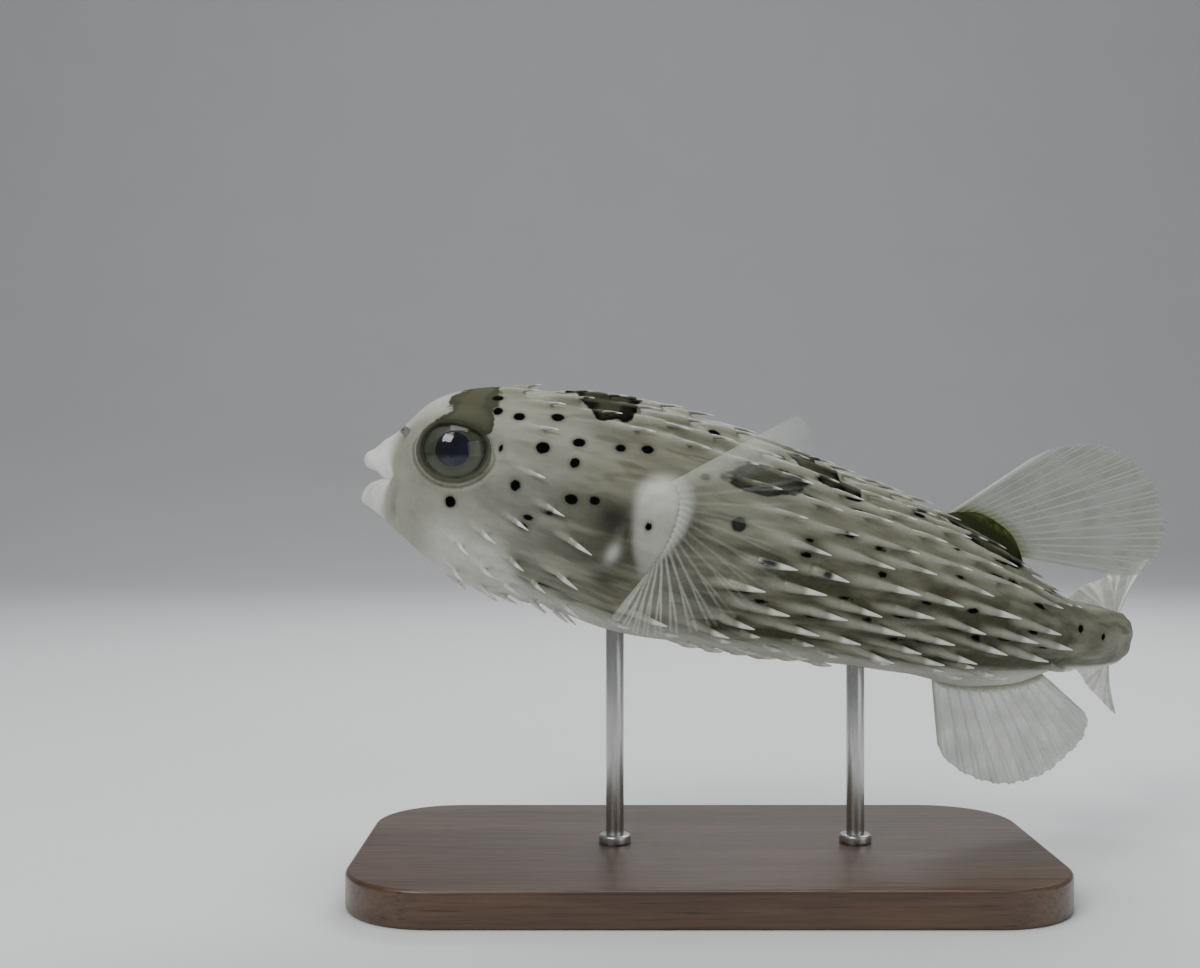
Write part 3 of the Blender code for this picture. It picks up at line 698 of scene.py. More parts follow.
def hide_colour():
    """Colour of the hide: olive ground, bars, blotches, spots and dashes, with painted shade in its hollows
    and folds and painted light on the head; the skin and the spines share it.
    """
    if "hide_colour" in bpy.data.node_groups:
        return bpy.data.node_groups["hide_colour"]
    colours = bpy.context.scene.porcupine_colours
    inputs = [
        ("Ground", "Color", tuple(colours.ground)),
        ("Shade", "Color", tuple(colours.shade)),
        ("Belly", "Color", tuple(colours.belly)),
        ("Bar", "Color", tuple(colours.bar)),
        ("Brow", "Color", tuple(colours.brow)),
        ("Spot", "Color", tuple(colours.spot)),
        ("Crest", "Float", 1.0),
    ]
    outputs = [("Color", "Color"), ("Dark", "Float")]
    tree, t, given, end = new_group("hide_colour", inputs, outputs)
    spot, blotch, ridge = t.attribute("marks")
    belly, shade, pale = t.attribute("tones")
    hollow, ring, fringe = t.attribute("parts")
    here = t.place()
    streaks = t.add("Attribute", {"attribute_name": "lie"}).outputs["Vector"]
    broad = t.noise(here, 55.0, 3.0, 0.55)
    fine = t.noise(here, 420.0, 3.0, 0.6)
    streak = t.noise(streaks, 170.0, 3.0, 0.55)
    # The ground: olive between the ridges, partly the hide's own colour and partly painted shade in the
    # valleys, and pale on their crests
    crest = t.times(ridge, given["Crest"])
    olive = t.times(shade, t.step(streak, 0.28, 0.70, 0.36, 1.30))
    olive = t.times(olive, t.step(crest, 0.10, 0.85, 1.15, 0.30))
    olive = t.times(olive, t.step(broad, 0.25, 0.75, 0.80, 1.15))
    colour = t.mix(olive, given["Ground"], given["Shade"])
    colour = t.mix(t.times(belly, t.step(broad, 0.2, 0.8, 0.75, 1.0)), colour, given["Belly"])
    colour = t.mix(t.times(t.step(crest, 0.15, 0.9), 0.16), colour, given["Belly"])
    lines = t.step(t.noise(streaks, 300.0, 2.0, 0.5), 0.52, 0.66, 0.0, 0.55)
    lines = t.times(lines, t.step(crest, 0.05, 0.5, 1.0, 0.0))
    colour = t.mix(t.times(lines, t.step(shade, 0.34, 0.44)), colour, given["Shade"])
    # Pale tone: the pads and lips, with painted light on the snout and the side of the head and a painted
    # highlight under the gill opening
    colour = t.mix(pale, colour, (0.78, 0.79, 0.74))
    colour = t.mix(t.times(t.step(fine, 0.35, 0.75), 0.16), colour, (0.20, 0.21, 0.13))
    # Bars and blotches, with a frayed dark edge
    frayed = t.fray(t.fray(blotch, streak, 5.2), fine, 1.6)
    inside = t.step(frayed, 0.4, -0.4)
    edge = t.times(inside, t.step(frayed, -3.4, -0.9))
    edge = t.times(edge, t.step(ring, 15.0, 19.5, 0.30, 0.95))
    inside = t.times(inside, t.step(crest, 0.45, 1.0, 1.0, 0.65))
    bar = t.mix(t.step(broad, 0.35, 0.65), given["Bar"], tuple(0.6 * c for c in colours.bar))
    bar = t.mix(t.step(ring, 19.5, 15.0, 0.0, 0.75), bar, given["Brow"])
    bar = t.mix(t.step(ring, 4.6, 1.6, 0.0, 0.65), bar, (0.030, 0.032, 0.022))
    bar = t.mix(edge, bar, given["Spot"])
    colour = t.mix(inside, colour, bar)
    colour = t.mix(t.times(t.step(fringe, 0.0, 0.25), 0.7), colour, (0.020, 0.026, 0.010))
    green = t.mix(t.step(fine, 0.3, 0.7), (0.080, 0.108, 0.026), (0.020, 0.028, 0.009))
    colour = t.mix(t.step(fringe, 0.62, 0.97, 0.0, 0.75), colour, green)
    # The ring of the eye's lids, with painted shade in the fold round it and at the edge where the lids meet
    # the eyeball
    lid = t.step(t.fray(ring, fine, 0.7), 1.9, 1.2)
    colour = t.mix(t.times(lid, 0.93), colour, t.mix(fine, (0.038, 0.040, 0.026), (0.085, 0.085, 0.052)))
    # Painted shade in the fold round the lids
    fold = t.times(t.step(ring, 1.8, 2.4), t.step(ring, 3.2, 2.5))
    colour = t.mix(t.times(fold, 0.55), colour, (0.09, 0.09, 0.055))
    # Painted shade where the lids meet the eyeball
    inner = t.times(t.step(ring, -0.7, -0.1), t.step(ring, 0.7, 0.2))
    colour = t.mix(t.times(inner, 0.7), colour, (0.020, 0.020, 0.014))
    # Spots
    round_edge = t.fray(spot, fine, 0.7)
    dot = t.step(round_edge, 0.28, -0.22)
    colour = t.mix(t.step(round_edge, 1.3, 0.1, 0.0, 0.35), colour, given["Shade"])
    colour = t.mix(dot, colour, given["Spot"])
    # Painted shade inside the mouth and in the gill opening, from the first of the parts numbers
    colour = t.mix(hollow, colour, (0.030, 0.030, 0.024))
    t.fill(end, Color=colour, Dark=t.maths("MAXIMUM", dot, inside))
    return tree


def skin_material():
    made, t, shader = new_material("speckled_skin")
    hide = t.group(hide_colour())
    pores = t.cells(t.place(), 1100.0)
    wrinkle = t.noise(t.place((0.4, 1.0, 1.0), (0.0, NOSE_UP, 0.0)), 520.0, 4.0, 0.6)
    height = t.maths("MULTIPLY_ADD", pores, 0.35, t.times(wrinkle, 0.8))
    t.fill(
        shader,
        Base_Color=hide["Color"],
        Roughness=t.maths("ADD", t.step(wrinkle, 0.25, 0.75, 0.40, 0.58), t.times(hide["Dark"], 0.3)),
        Normal=t.bump(height, 0.32, 0.0006),
        Specular_IOR_Level=t.step(hide["Dark"], 0.0, 0.8, 0.14, 0.01),
        Subsurface_Weight=0.12,
        Subsurface_Radius=(0.8, 0.6, 0.4),
        Subsurface_Scale=0.002,
    )
    return made


def spine_material():
    """The hide's colour at a spine's root, and bare ivory from the sheath to the tip."""
    made, t, shader = new_material("ivory_spine")
    hide = t.group(hide_colour())
    along, covered, _ = t.attribute("spine")
    grain = t.noise(t.place((0.2, 1.0, 1.0)), 1400.0, 2.0)
    ivory = t.mix(t.step(grain, 0.3, 0.7), (0.82, 0.82, 0.76), (0.68, 0.68, 0.60))
    ivory = t.mix(t.step(along, 0.80, 1.0, 0.0, 0.35), ivory, (0.93, 0.93, 0.88))
    bare = t.step(t.maths("SUBTRACT", along, covered), -0.06, 0.10)
    t.fill(
        shader,
        Base_Color=t.mix(bare, hide["Color"], ivory),
        Roughness=t.step(grain, 0.2, 0.8, 0.24, 0.40),
        Normal=t.bump(grain, 0.15, 0.0003),
        Coat_Weight=0.25,
        Coat_Roughness=0.2,
    )
    return made


def eye_material(pupil):
    """The iris and the pupil of this radius in millimetres, drawn by the distance from the eye's axis."""
    made, t, shader = new_material("iris_and_pupil")
    out, sine, cosine = t.attribute("eye")
    fibre_at = t.add("CombineXYZ", X=t.times(sine, 6.0), Y=t.times(cosine, 6.0), Z=out)
    fibres = t.noise(fibre_at.outputs[0], 3.2, 4.0, 0.65)
    flecks = t.cells(t.place(), 1500.0)
    cloud = t.noise(t.place(), 260.0, 3.0, 0.6)
    lower = t.step(t.maths("ADD", t.times(sine, -0.8), t.times(cosine, 0.5)), -0.1, 0.9)
    iris = t.mix(t.step(fibres, 0.3, 0.7), (0.010, 0.014, 0.008), (0.030, 0.037, 0.019))
    gold = t.mix(t.step(fibres, 0.3, 0.7), (0.026, 0.033, 0.010), (0.066, 0.078, 0.026))
    ring = t.times(t.step(out, 5.2, 6.2), t.step(out, 8.2, 7.2))
    iris = t.mix(t.times(ring, t.step(lower, 0.0, 1.0, 0.25, 0.85)), iris, gold)
    iris = t.mix(t.step(flecks, 0.24, 0.10, 0.0, 0.16), iris, (0.05, 0.09, 0.08))
    iris = t.mix(t.times(t.step(out, pupil + 0.35, pupil + 0.1), 0.30), iris, (0.09, 0.09, 0.04))
    iris = t.mix(t.step(out, 7.2, 8.2), iris, (0.010, 0.011, 0.009))
    # Blue clouds in the pupil: painted sheen of the lens over its dark
    dark = t.mix(t.step(cloud, 0.35, 0.75), (0.0015, 0.002, 0.004), (0.0025, 0.006, 0.020))
    dark = t.mix(t.times(t.step(flecks, 0.20, 0.08), 0.2), dark, (0.012, 0.035, 0.075))
    relief = t.times(fibres, t.step(out, pupil + 0.1, pupil + 0.6))
    t.fill(
        shader,
        Base_Color=t.mix(t.step(out, pupil - 0.10, pupil + 0.16), dark, iris),
        Roughness=t.step(out, pupil, pupil + 0.15, 0.08, 0.28),
        Normal=t.bump(relief, 0.25, 0.0004),
        Specular_IOR_Level=0.2,
    )
    return made


def cornea_material():
    """Clear and wet. Light from lamps passes straight through to the iris."""
    made, t, shader = new_material("clear_cornea")
    wet = t.step(t.noise(t.place(), 180.0), 0.3, 0.7, 0.0, 0.015)
    t.fill(shader, Base_Color=(1.0, 1.0, 1.0), Transmission_Weight=1.0, IOR=1.34, Roughness=wet)
    lamp_light = t.add("LightPath").outputs["Is Shadow Ray"]
    passing = t.add("MixShader")
    clear = t.add("BsdfTransparent").outputs[0]
    for socket, value in zip(passing.inputs, (lamp_light, shader.outputs[0], clear)):
        t.put(socket, value)
    t.fill(made.node_tree.nodes["Material Output"], Surface=passing.outputs[0])
    return made


def beak_material():
    made, t, shader = new_material("tooth_plate")
    layers = t.noise(t.place((1.0, 1.0, 2.5)), 900.0, 3.0)
    t.fill(
        shader,
        Base_Color=t.mix(t.step(layers, 0.3, 0.7), (0.78, 0.74, 0.60), (0.60, 0.54, 0.38)),
        Roughness=t.step(layers, 0.2, 0.8, 0.22, 0.38),
        Normal=t.bump(layers, 0.2, 0.0003),
        Coat_Weight=0.4,
    )
    return made


def nostril_material():
    """Pale flesh, with painted shade in the hollow at the tube's top."""
    made, t, shader = new_material("nasal_tube")
    share, _, _ = t.attribute("tube")
    fine = t.noise(t.place(), 900.0, 3.0)
    flesh = t.mix(t.step(fine, 0.3, 0.7), (0.25, 0.26, 0.22), (0.15, 0.16, 0.13))
    t.fill(
        shader,
        Base_Color=t.mix(t.step(share, 0.42, 0.26), flesh, (0.035, 0.032, 0.030)),
        Roughness=t.step(fine, 0.2, 0.8, 0.34, 0.5),
        Normal=t.bump(fine, 0.2, 0.0003),
        Coat_Weight=0.25,
    )
    return made


def fin_material(name, web, ray, root, open_web, open_ray, rim=0.85, veil=1.0, tip=1.0):
    """A thin web over branching rays, denser at its root, with a rim.

    It is clearer by veil at its first rays and by tip at its edge.
    """
    made, t, shader = new_material(name)
    rib, along, edge = t.attribute("fin")
    cloud = t.noise(t.place(), 130.0, 3.0, 0.55)
    joints = t.times(t.step(t.maths("SINE", t.times(along, 150.0)), 0.2, 0.9), rib)
    colour = t.mix(t.step(cloud, 0.3, 0.7), web, tuple(0.78 * c for c in web))
    colour = t.mix(t.step(rib, 0.15, 0.8), colour, ray)
    colour = t.mix(t.times(joints, 0.22), colour, web)
    colour = t.mix(t.step(along, 0.20, 0.02), colour, root)
    colour = t.mix(t.times(edge, 0.75), colour, (0.66, 0.70, 0.60))
    solid = t.step(rib, 0.1, 0.85, open_web, open_ray)
    solid = t.times(solid, t.step(t.attribute("fan")[0], 0.45, 0.90, veil, 1.0))
    solid = t.times(solid, t.step(cloud, 0.25, 0.75, 0.86, 1.08))
    solid = t.maths("MAXIMUM", solid, t.times(edge, rim))
    solid = t.times(solid, t.step(along, 0.62, 1.0, 1.0, tip))
    solid = t.maths("MINIMUM", t.maths("MAXIMUM", solid, t.step(along, 0.22, 0.02)), 1.0)
    height = t.maths("ADD", t.times(joints, -0.5), t.times(t.noise(t.place(), 700.0, 2.0), 0.5))
    rough = t.step(cloud, 0.2, 0.8, 0.30, 0.46)
    normal = t.bump(height, 0.25, 0.0004)
    t.fill(shader, Base_Color=colour, Alpha=solid, Roughness=rough, Normal=normal, Coat_Weight=0.25)
    return made


def wood_material():
    made, t, shader = new_material("dark_walnut")
    waves = t.noise(t.place((1.2, 14.0, 14.0)), 6.0, 4.0, 0.6)
    grain = t.noise(t.place((6.0, 160.0, 160.0)), 5.0, 4.0, 0.7)
    pores = t.step(t.noise(t.place((18.0, 420.0, 420.0)), 3.0, 2.0), 0.60, 0.72)
    colour = t.mix(t.step(waves, 0.3, 0.7), (0.060, 0.030, 0.016), (0.125, 0.066, 0.034))
    colour = t.mix(t.step(grain, 0.35, 0.75, 0.0, 0.6), colour, (0.030, 0.015, 0.009))
    colour = t.mix(t.times(pores, 0.7), colour, (0.012, 0.007, 0.005))
    rough = t.step(grain, 0.2, 0.8, 0.30, 0.46)
    normal = t.bump(t.maths("SUBTRACT", t.times(grain, 0.3), pores), 0.18, 0.0004)
    t.fill(shader, Base_Color=colour, Roughness=rough, Normal=normal, Coat_Weight=0.35, Coat_Roughness=0.18)
    return made


def steel_material():
    made, t, shader = new_material("satin_steel")
    brushed = t.noise(t.place((900.0, 900.0, 30.0)), 2.0, 3.0, 0.7)
    colour = t.mix(t.step(brushed, 0.3, 0.7), (0.60, 0.60, 0.58), (0.48, 0.48, 0.47))
    rough = t.step(brushed, 0.2, 0.8, 0.24, 0.38)
    t.fill(shader, Base_Color=colour, Roughness=rough, Normal=t.bump(brushed, 0.08, 0.0002), Metallic=1.0)
    return made


def stage_material():
    made, t, shader = new_material("pale_backdrop")
    faint = t.noise(t.place(), 9.0, 3.0)
    t.fill(shader, Base_Color=t.mix(faint, (0.78, 0.79, 0.80), (0.82, 0.83, 0.835)), Roughness=0.85)
    return made


# The skin


def lip_loop(angle):
    """The lips' centre line round the mouth, their radius, and the way out from the mouth's middle."""
    fore, across = np.abs(np.sin(angle)), np.cos(angle)
    upper = np.sin(angle) > 0
    lips = [[np.where(upper, a, b) for a, b in zip(*pair)] for pair in zip(UPPER_LIP, LOWER_LIP)]
    (front_x, front_z), (corner_x, half, corner_z), (front_radius, corner_radius) = lips
    parted = rising(fore, 0.0, 0.30)
    x = corner_x + (front_x - corner_x) * fore + (1 - parted) * (MOUTH_CORNER[0] - corner_x)
    z = corner_z + (front_z - corner_z) * np.where(upper, fore**1.6, fore**2.1)
    z = MOUTH_CORNER[1] + (z - MOUTH_CORNER[1]) * parted
    radius = corner_radius + (front_radius - corner_radius) * fore
    outward = unit(np.stack([0 * x, half * across, 1.4 * (z - MOUTH_CORNER[1])], -1))
    return np.stack([x, half * across, z], -1), radius[:, None], outward


def face_start(angle, at_corner, at_top, at_bottom):
    """A place on the spine beside the mouth's corners that shifts to others over and under the mouth."""
    return at_corner + (np.where(np.sin(angle) > 0, at_top, at_bottom) - at_corner) * np.abs(np.sin(angle))


def mouth_rings(angle):
    """Rings from the back of the mouth, over the lips and back to the face, and the steps between them."""
    centre, radius, out = lip_loop(angle)
    fore = np.array((-1.0, 0.0, 0.0))
    top = rising(np.sin(angle), 0.0, 0.7)[:, None]

    def oval(x, half, height):
        z = MOUTH_CORNER[1] - 0.0004 + height * np.sin(angle)
        return np.stack([x + 0 * angle, half * np.cos(angle), z], -1)

    def lip(outward, forward):
        return centre + radius * (outward * out + forward * fore)

    def face(places, scale):
        s = face_start(angle, *places)
        middle = np.stack([spine_at(s)[:, 0], 0 * s, section(s)[3]], -1)
        return middle + (skin_point(s, angle) - middle) * scale

    throat = [(0.0265, 0, 0), (0.0255, 0.0026, 0.0016), (0.0200, 0.0050, 0.0030), (0.0145, 0.0062, 0.0034)]
    rolled = [(-0.92, -0.85), (-1.0, 0.0), (-0.72, 0.70), (0.0, 1.0), (0.70, 0.74), (1.0 + 0.22 * top, 0.06)]
    beside = 1 - np.abs(np.sin(angle))[:, None] ** 1.5
    rings = [oval(*ring) for ring in throat] + [lip(*ring) for ring in rolled]
    rings += [face(places, size) for places, size in zip(FACE_RINGS, (0.997 - 0.037 * beside, 1.0, 1.0))]
    return np.array(rings), (3, 3, 4, 5, 5, 5, 6, 6, 6, 5, 5, 6)


def mouth_places(angle):
    """Places on the spine of the rings that through_rings makes of mouth_rings."""
    places = [0.0 * angle + 0.003] * 10 + [face_start(angle, *places) for places in FACE_RINGS]
    return through_rings(np.array(places), mouth_rings(angle)[1])


def through_rings(rings, steps):
    """Rings between the given ones, on smooth curves through them."""
    found = [rings[0]]
    for k, count in enumerate(steps):
        before, a, b, after = [rings[min(max(k + n, 0), len(rings) - 1)] for n in (-1, 0, 1, 2)]
        for t in np.arange(1, count + 1) / count:
            found.append(curve(a, b, (b - before) / 2, (after - a) / 2, t))
    return np.array(found)


def slanted(p, angle):
    """Places of the body's rings: the first follow the mouth, the later ones stand square to the spine."""
    start = FACE_RINGS[2][1]
    return p + (face_start(angle, *FACE_RINGS[2]) - start) * falling(p, start, 0.016)


# How far apart the body's rings are, up to each place on the spine
RING_STEPS = ((0.040, 0.00042), (0.056, 0.00062), (0.110, 0.00078), (0.206, 0.00098), (math.inf, 0.0013))


def body_places():
    """Places of the rings behind the mouth, closest together on the face."""
    places = [FACE_RINGS[2][1]]
    while places[-1] < SKIN_END:
        step = next(step for end, step in RING_STEPS if places[-1] < end)
        places.append(places[-1] + step)
    return np.array(places[1:])


def eye_frame(side):
    """The eye's middle, where it looks, and the ways back and up across it, on side 1, the right, or -1."""
    ahead, up = EYE_TURN
    axis = unit(np.array((-math.sin(ahead), side * math.cos(ahead) * math.cos(up), math.sin(up))))
    back = unit(np.array((1.0, 0.0, 0.0)) - axis[0] * axis)
    rise = np.cross(axis, back)
    return EYE_CENTRE * (1, side, 1), axis, back, rise * np.sign(rise[2])


def eye_distance(points, side):
    """Distance outside the edge of the eye's opening, with the height of that edge over the eye's middle."""
    centre, axis, back, rise = eye_frame(side)
    offset = points - centre
    u, v, h = offset @ back, offset @ rise, offset @ axis
    length, over, under = EYE_OPENING
    power = np.where(v > 0, 2.5, 2.0)
    rho = (np.abs(u / length) ** power + np.abs(v / np.where(v > 0, over, under)) ** power) ** (1 / power)
    reach = np.sqrt(u**2 + v**2)
    opening = reach / np.maximum(rho, 1e-6)
    edge = np.sqrt(np.maximum(EYE_RADIUS**2 - opening**2, 0.0))
    return reach - opening, edge, u, v, h


def lids(points, side):
    """Moves the skin round an eye into its lids.

    It dives under the ball inside the opening, rolls over its edge and falls back to the face through a fold.
    """
    away, edge, u, v, height = eye_distance(points, side)
    axis = eye_frame(side)[1]
    facing = (points[..., 1] * side > 0) & (height > -0.004) & (away < 0.0085)
    reach = np.minimum(np.sqrt(u**2 + v**2), EYE_RADIUS * 0.98)
    ball = np.sqrt(EYE_RADIUS**2 - reach**2)
    dive = ball - 0.0042 * rising(-away, 0.0001, 0.0016)
    low = falling(v, -0.005, 0.006)
    roll = 0.0007 * np.sin(math.pi * np.clip(away / 0.0019, 0.0, 1.0)) ** 0.8 * (0.45 + 0.55 * low)
    fold = 0.0007 * hump(away, 0.0023, 0.00050) * (0.15 + 0.85 * low)
    pouch = 0.0006 * hump(away, 0.0036, 0.0009) * low
    outer = edge + (height - edge) * rising(away, 0.0008, 0.0064) + roll - fold + pouch
    wanted = np.where(away < 0, dive, outer)
    return points + np.where(facing, wanted - height, 0.0)[..., None] * axis


def root_reach(s, angle, root, keel):
    """Distance from the middle of a fin's fleshy root, with 1 its edge."""
    start, end, half_angle, _ = root
    half = (end - start) / 2
    return np.hypot((s - start - half) / half, wrapped(angle - keel) / half_angle)


def pad_reach(s, z):
    """Place on a pectoral fin's pad: distance from its middle, with 1 its edge, and how far back and up."""
    low, high = PECTORAL_ROOT_Z
    upward = (z - (low + high) / 2) / ((high - low) / 2)
    bottom, top = PECTORAL_ROOT_HALF
    half = bottom + (top - bottom) * (np.clip(upward, -1.0, 1.0) + 1) / 2
    back = (s - PECTORAL_ROOT[0]) / half
    return np.sqrt(upward**2 + back**2), back, upward


def gill_slit(s, z):
    """How deep a place is in the gill opening: in its edge by the fin's pad, and in its soft hollow."""
    middle = 0.0740 + 0.0016 * np.cos((z - 0.003) / 0.010 * 1.2)
    edge = hump(s, middle, 0.0011) * falling(np.abs(z - 0.0035), 0.0030, 0.0060)
    return edge, hump(s, 0.0712, 0.0040) * hump(z, 0.0028, 0.0052)


def flank_only(angle):
    """1 on the flanks, fading to 0 towards the back and the belly."""
    return rising(np.abs(np.cos(angle)), 0.5, 0.2)


def lift_skin(s, angle, points):
    """How far the skin stands over the body's plain sections."""
    z = points[..., 2]
    bearing = rising(s, 0.026, 0.02) * falling(s, 0.20, 0.02)
    lift = -0.0006 * bearing + 0.0017 * sheath_height(s, angle)
    for root, keel in ((DORSAL_ROOT, BACK), (ANAL_ROOT, BELLY)):
        lift += (root[3] + 0.0008) * falling(root_reach(s, angle, root, keel), 0.25, 0.95)
    reach, back, _ = pad_reach(s, z)
    flank = flank_only(angle)
    rear = rising(back, -0.2, 0.8)
    pad = falling(reach, 0.62 + 0.26 * rear, 0.50) * (0.45 + 0.55 * rising(back, -0.9, 1.5))
    lift += PECTORAL_ROOT[1] * pad * flank
    sharp, wide = gill_slit(s, z)
    lift -= (0.0012 * sharp + 0.0030 * wide) * flank
    # Soft folds of the slack belly and throat, and unevenness everywhere
    down = below_back(angle)
    slack = rising(down, 1.75, 0.6) * rising(s, 0.02, 0.02) * falling(s, 0.17, 0.03)
    lift += 0.00032 * slack * np.sin(34 * down + 3 * np.sin(50 * s)) * np.cos(60 * s + 5 * down)
    uneven = np.sin(95 * s + 2.1 * np.sin(3 * angle)) * np.sin(5 * angle + 40 * s)
    lift += 0.00030 * uneven * rising(s, 0.03, 0.03)
    # The cheek's crease behind the corner of the mouth
    crease = hump(s, 0.0175 - 0.05 * (z - 0.002), 0.0012) * falling(np.abs(z - 0.001), 0.006, 0.006)
    return lift - 0.0006 * crease


def skin_rings(segments):
    """The whole skin as rings of points, with their places and angles and how far in the mouth they lie."""
    angle = -np.arange(segments) * math.tau / segments
    rings, steps = mouth_rings(angle)
    mouth = through_rings(rings, steps)
    p = body_places()[:, None]
    s = slanted(p, angle[None, :])
    body = skin_point(s, angle)
    turns = np.radians((14, 30, 46, 60, 72, 82, 90))
    past = (SKIN_END + SKIN_CAP * np.sin(turns))[:, None] + 0 * angle
    centre = spine_at(past) + np.stack([0 * past, 0 * past, section(past)[3]], -1)
    cap = centre + (skin_point(past, angle) - centre) * (np.cos(turns) ** 0.62)[:, None, None]
    places = np.concatenate([mouth_places(angle), s, past])
    inside = falling(np.arange(len(places)), sum(steps[:4]), 5)
    return np.concatenate([mouth, body, cap]), places, angle[None, :] + 0 * places, inside, len(mouth)


def marks_of(s, angle):
    """The markings that skin and spines share, each as three numbers, and the way that their streaks lie."""
    z = skin_point(s, angle)[..., 2]
    down = below_back(angle)
    trunk = rising(s, 0.030, 0.022)
    behind = rising(s, 0.082, 0.02)
    head = falling(s, 0.040, 0.014)
    # Dark low flanks, partly their own olive and partly painted shade where they turn down; paler shoulders
    # and back, a white belly and throat
    belly = rising(down, 2.32 - 0.52 * head, 0.42) * rising(s, 0.018, 0.012)
    low = rising(down, 1.25, 0.42) * falling(down, 2.34, 0.42) * trunk
    low = low * (1 - 0.55 * rising(s, 0.185, 0.03))
    flank = 0.43 - 0.04 * behind + 0.10 * rising(s, 0.16, 0.05)
    shade = flank * (0.35 + 0.65 * trunk) + (0.80 + 0.06 * behind - flank) * low
    # Darker cheek below the eye: partly its own grey-olive and partly painted shade where it turns down
    cheek = head * rising(down, 0.9, 0.5) * falling(down, 2.0, 0.4) * rising(s, 0.012, 0.01)
    # Painted shade in the crease behind the corner of the mouth
    crease = hump(s, 0.0122, 0.0013) * falling(np.abs(z + 0.0035), 0.004, 0.004)
    shade = np.maximum(shade * (1 - belly) + 0.20 * cheek, 0.5 * crease)
    # The pectoral fins' pads; painted shade in the gill opening and in a wedge below it, and a painted
    # highlight on the skin just under the opening
    on_flank = flank_only(angle)
    reach, _, upward = pad_reach(s, z)
    pad = falling(reach, 0.72, 0.52) * on_flank
    sharp, wide = gill_slit(s, z)
    # Painted shade in a wedge below the gill opening, before the fin's lower root
    painted_wedge_shade = hump(s, 0.0715, 0.0034) * hump(z, -0.0125, 0.0036)
    # Painted shade in the gill opening: along its edge by the pad, in its hollow and in the wedge
    painted_gill_shade = np.clip(0.40 * sharp + 0.92 * wide + 0.60 * painted_wedge_shade, 0.0, 0.92) * on_flank * (1 - pad)
    # Painted highlight on the skin just under the gill opening, added to the pale tone
    lobe = hump(s, 0.0734 + 0.2 * z, 0.0017) * hump(z, -0.0053, 0.0031) * on_flank
    # Paler top of the snout: partly its own pale colour and partly painted light
    snout_pale_and_painted_light = falling(s, 0.019, 0.006) * falling(down, 0.5, 0.5)
    # Painted light: the side of the head is lightened all over
    painted_light_on_head = falling(s, 0.045, 0.035) * rising(down, 0.5, 0.4)
    pale = (0.38 + 0.42 * rising(upward, 0.0, 1.0)) * pad + 0.55 * snout_pale_and_painted_light + 0.55 * lobe + 0.16 * painted_light_on_head
    fringe = falling(root_reach(s, angle, DORSAL_ROOT, BACK), 0.40, 0.75)
    width, top, under, _ = section(s)
    return {
        "marks": [spot_distance(s, angle), blotch_distance(s, angle), sheath_height(s, angle)],
        "tones": [belly, np.clip(shade, 0.0, 1.0), np.clip(pale, 0.0, 1.0)],
        "parts": [painted_gill_shade, FAR + 0 * s, fringe],
        "lie": [0.2 * s, width * np.cos(angle), (top - under) / 2 * np.sin(angle)],
    }


def lid_distance(points, places):
    """Distance from the edge of the nearer eye's opening, in millimetres."""
    found = np.full(places.shape, FAR)
    for _, side in SIDES:
        away, _, _, v, _ = eye_distance(points, side)
        # The lower lid's second fold fades out towards the top
        away = away / MM + 1.6 * rising(v, -0.001, 0.005) * rising(away, 0.0012, 0.0006)
        beside = (points[..., 1] * side > 0) & (places < 0.055)
        found = np.where(beside, np.clip(away, -FAR, FAR), found)
    return found


def build_skin(settings):
    segments = settings.segments
    points, places, angles, inside, lips_end = skin_rings(segments)
    lift = lift_skin(places, angles, points)
    lift[:lips_end] = 0.0
    along = np.gradient(points, axis=0)
    around = np.roll(points, -1, axis=1) - np.roll(points, 1, axis=1)
    points = points + unit(np.cross(along, around)) * (lift * settings.relief)[..., None]
    ring = lid_distance(points, places)
    for _, side in SIDES:
        points = lids(points, side)
    skin, polar, turn = add_ball("skin", segments, len(points) - 1)
    row = np.rint(polar * (len(points) - 1) / math.pi).astype(int)
    column = np.rint(turn * segments / math.tau).astype(int) % segments
    place_points(skin, in_pose(points[row, column]))
    kept = marks_of(places, angles)
    # Painted shade inside the mouth, darker the further in the lining lies
    kept["parts"][0] = np.maximum(kept["parts"][0], inside[:, None])
    kept["parts"][1] = ring
    on_lips = falling(places, 0.0062, 0.0052) * (np.arange(len(places)) < lips_end)[:, None]
    kept["tones"][2] = np.maximum(kept["tones"][2], on_lips * (1 - inside[:, None]))
    for name, columns in kept.items():
        keep_attribute(skin, name, [np.broadcast_to(c, places.shape)[row, column] for c in columns])
    skin.data.uv_layers.active.name = "OFBake"
    face_out(skin)
    flesh = ["head", "trunk", "tail", "lip_upper", "lip_lower", "dorsal_root", "anal_root"]
    flesh += ["pectoral_root_left", "pectoral_root_right"]
    finish_piece(skin, skin_material(), "skin", *flesh)


def map_place(s, angle):
    """Where a place on the body lies on the skin's own map."""
    rings = sum(mouth_rings(np.zeros(1))[1]) + 1
    places = body_places()
    row = rings + np.interp(s, places, np.arange(len(places)))
    last = rings + len(places) + 6
    return np.clip(np.stack([(0.5 - angle / math.tau) % 1.0, 1 - row / last], -1), 0.002, 0.998)


# The spines


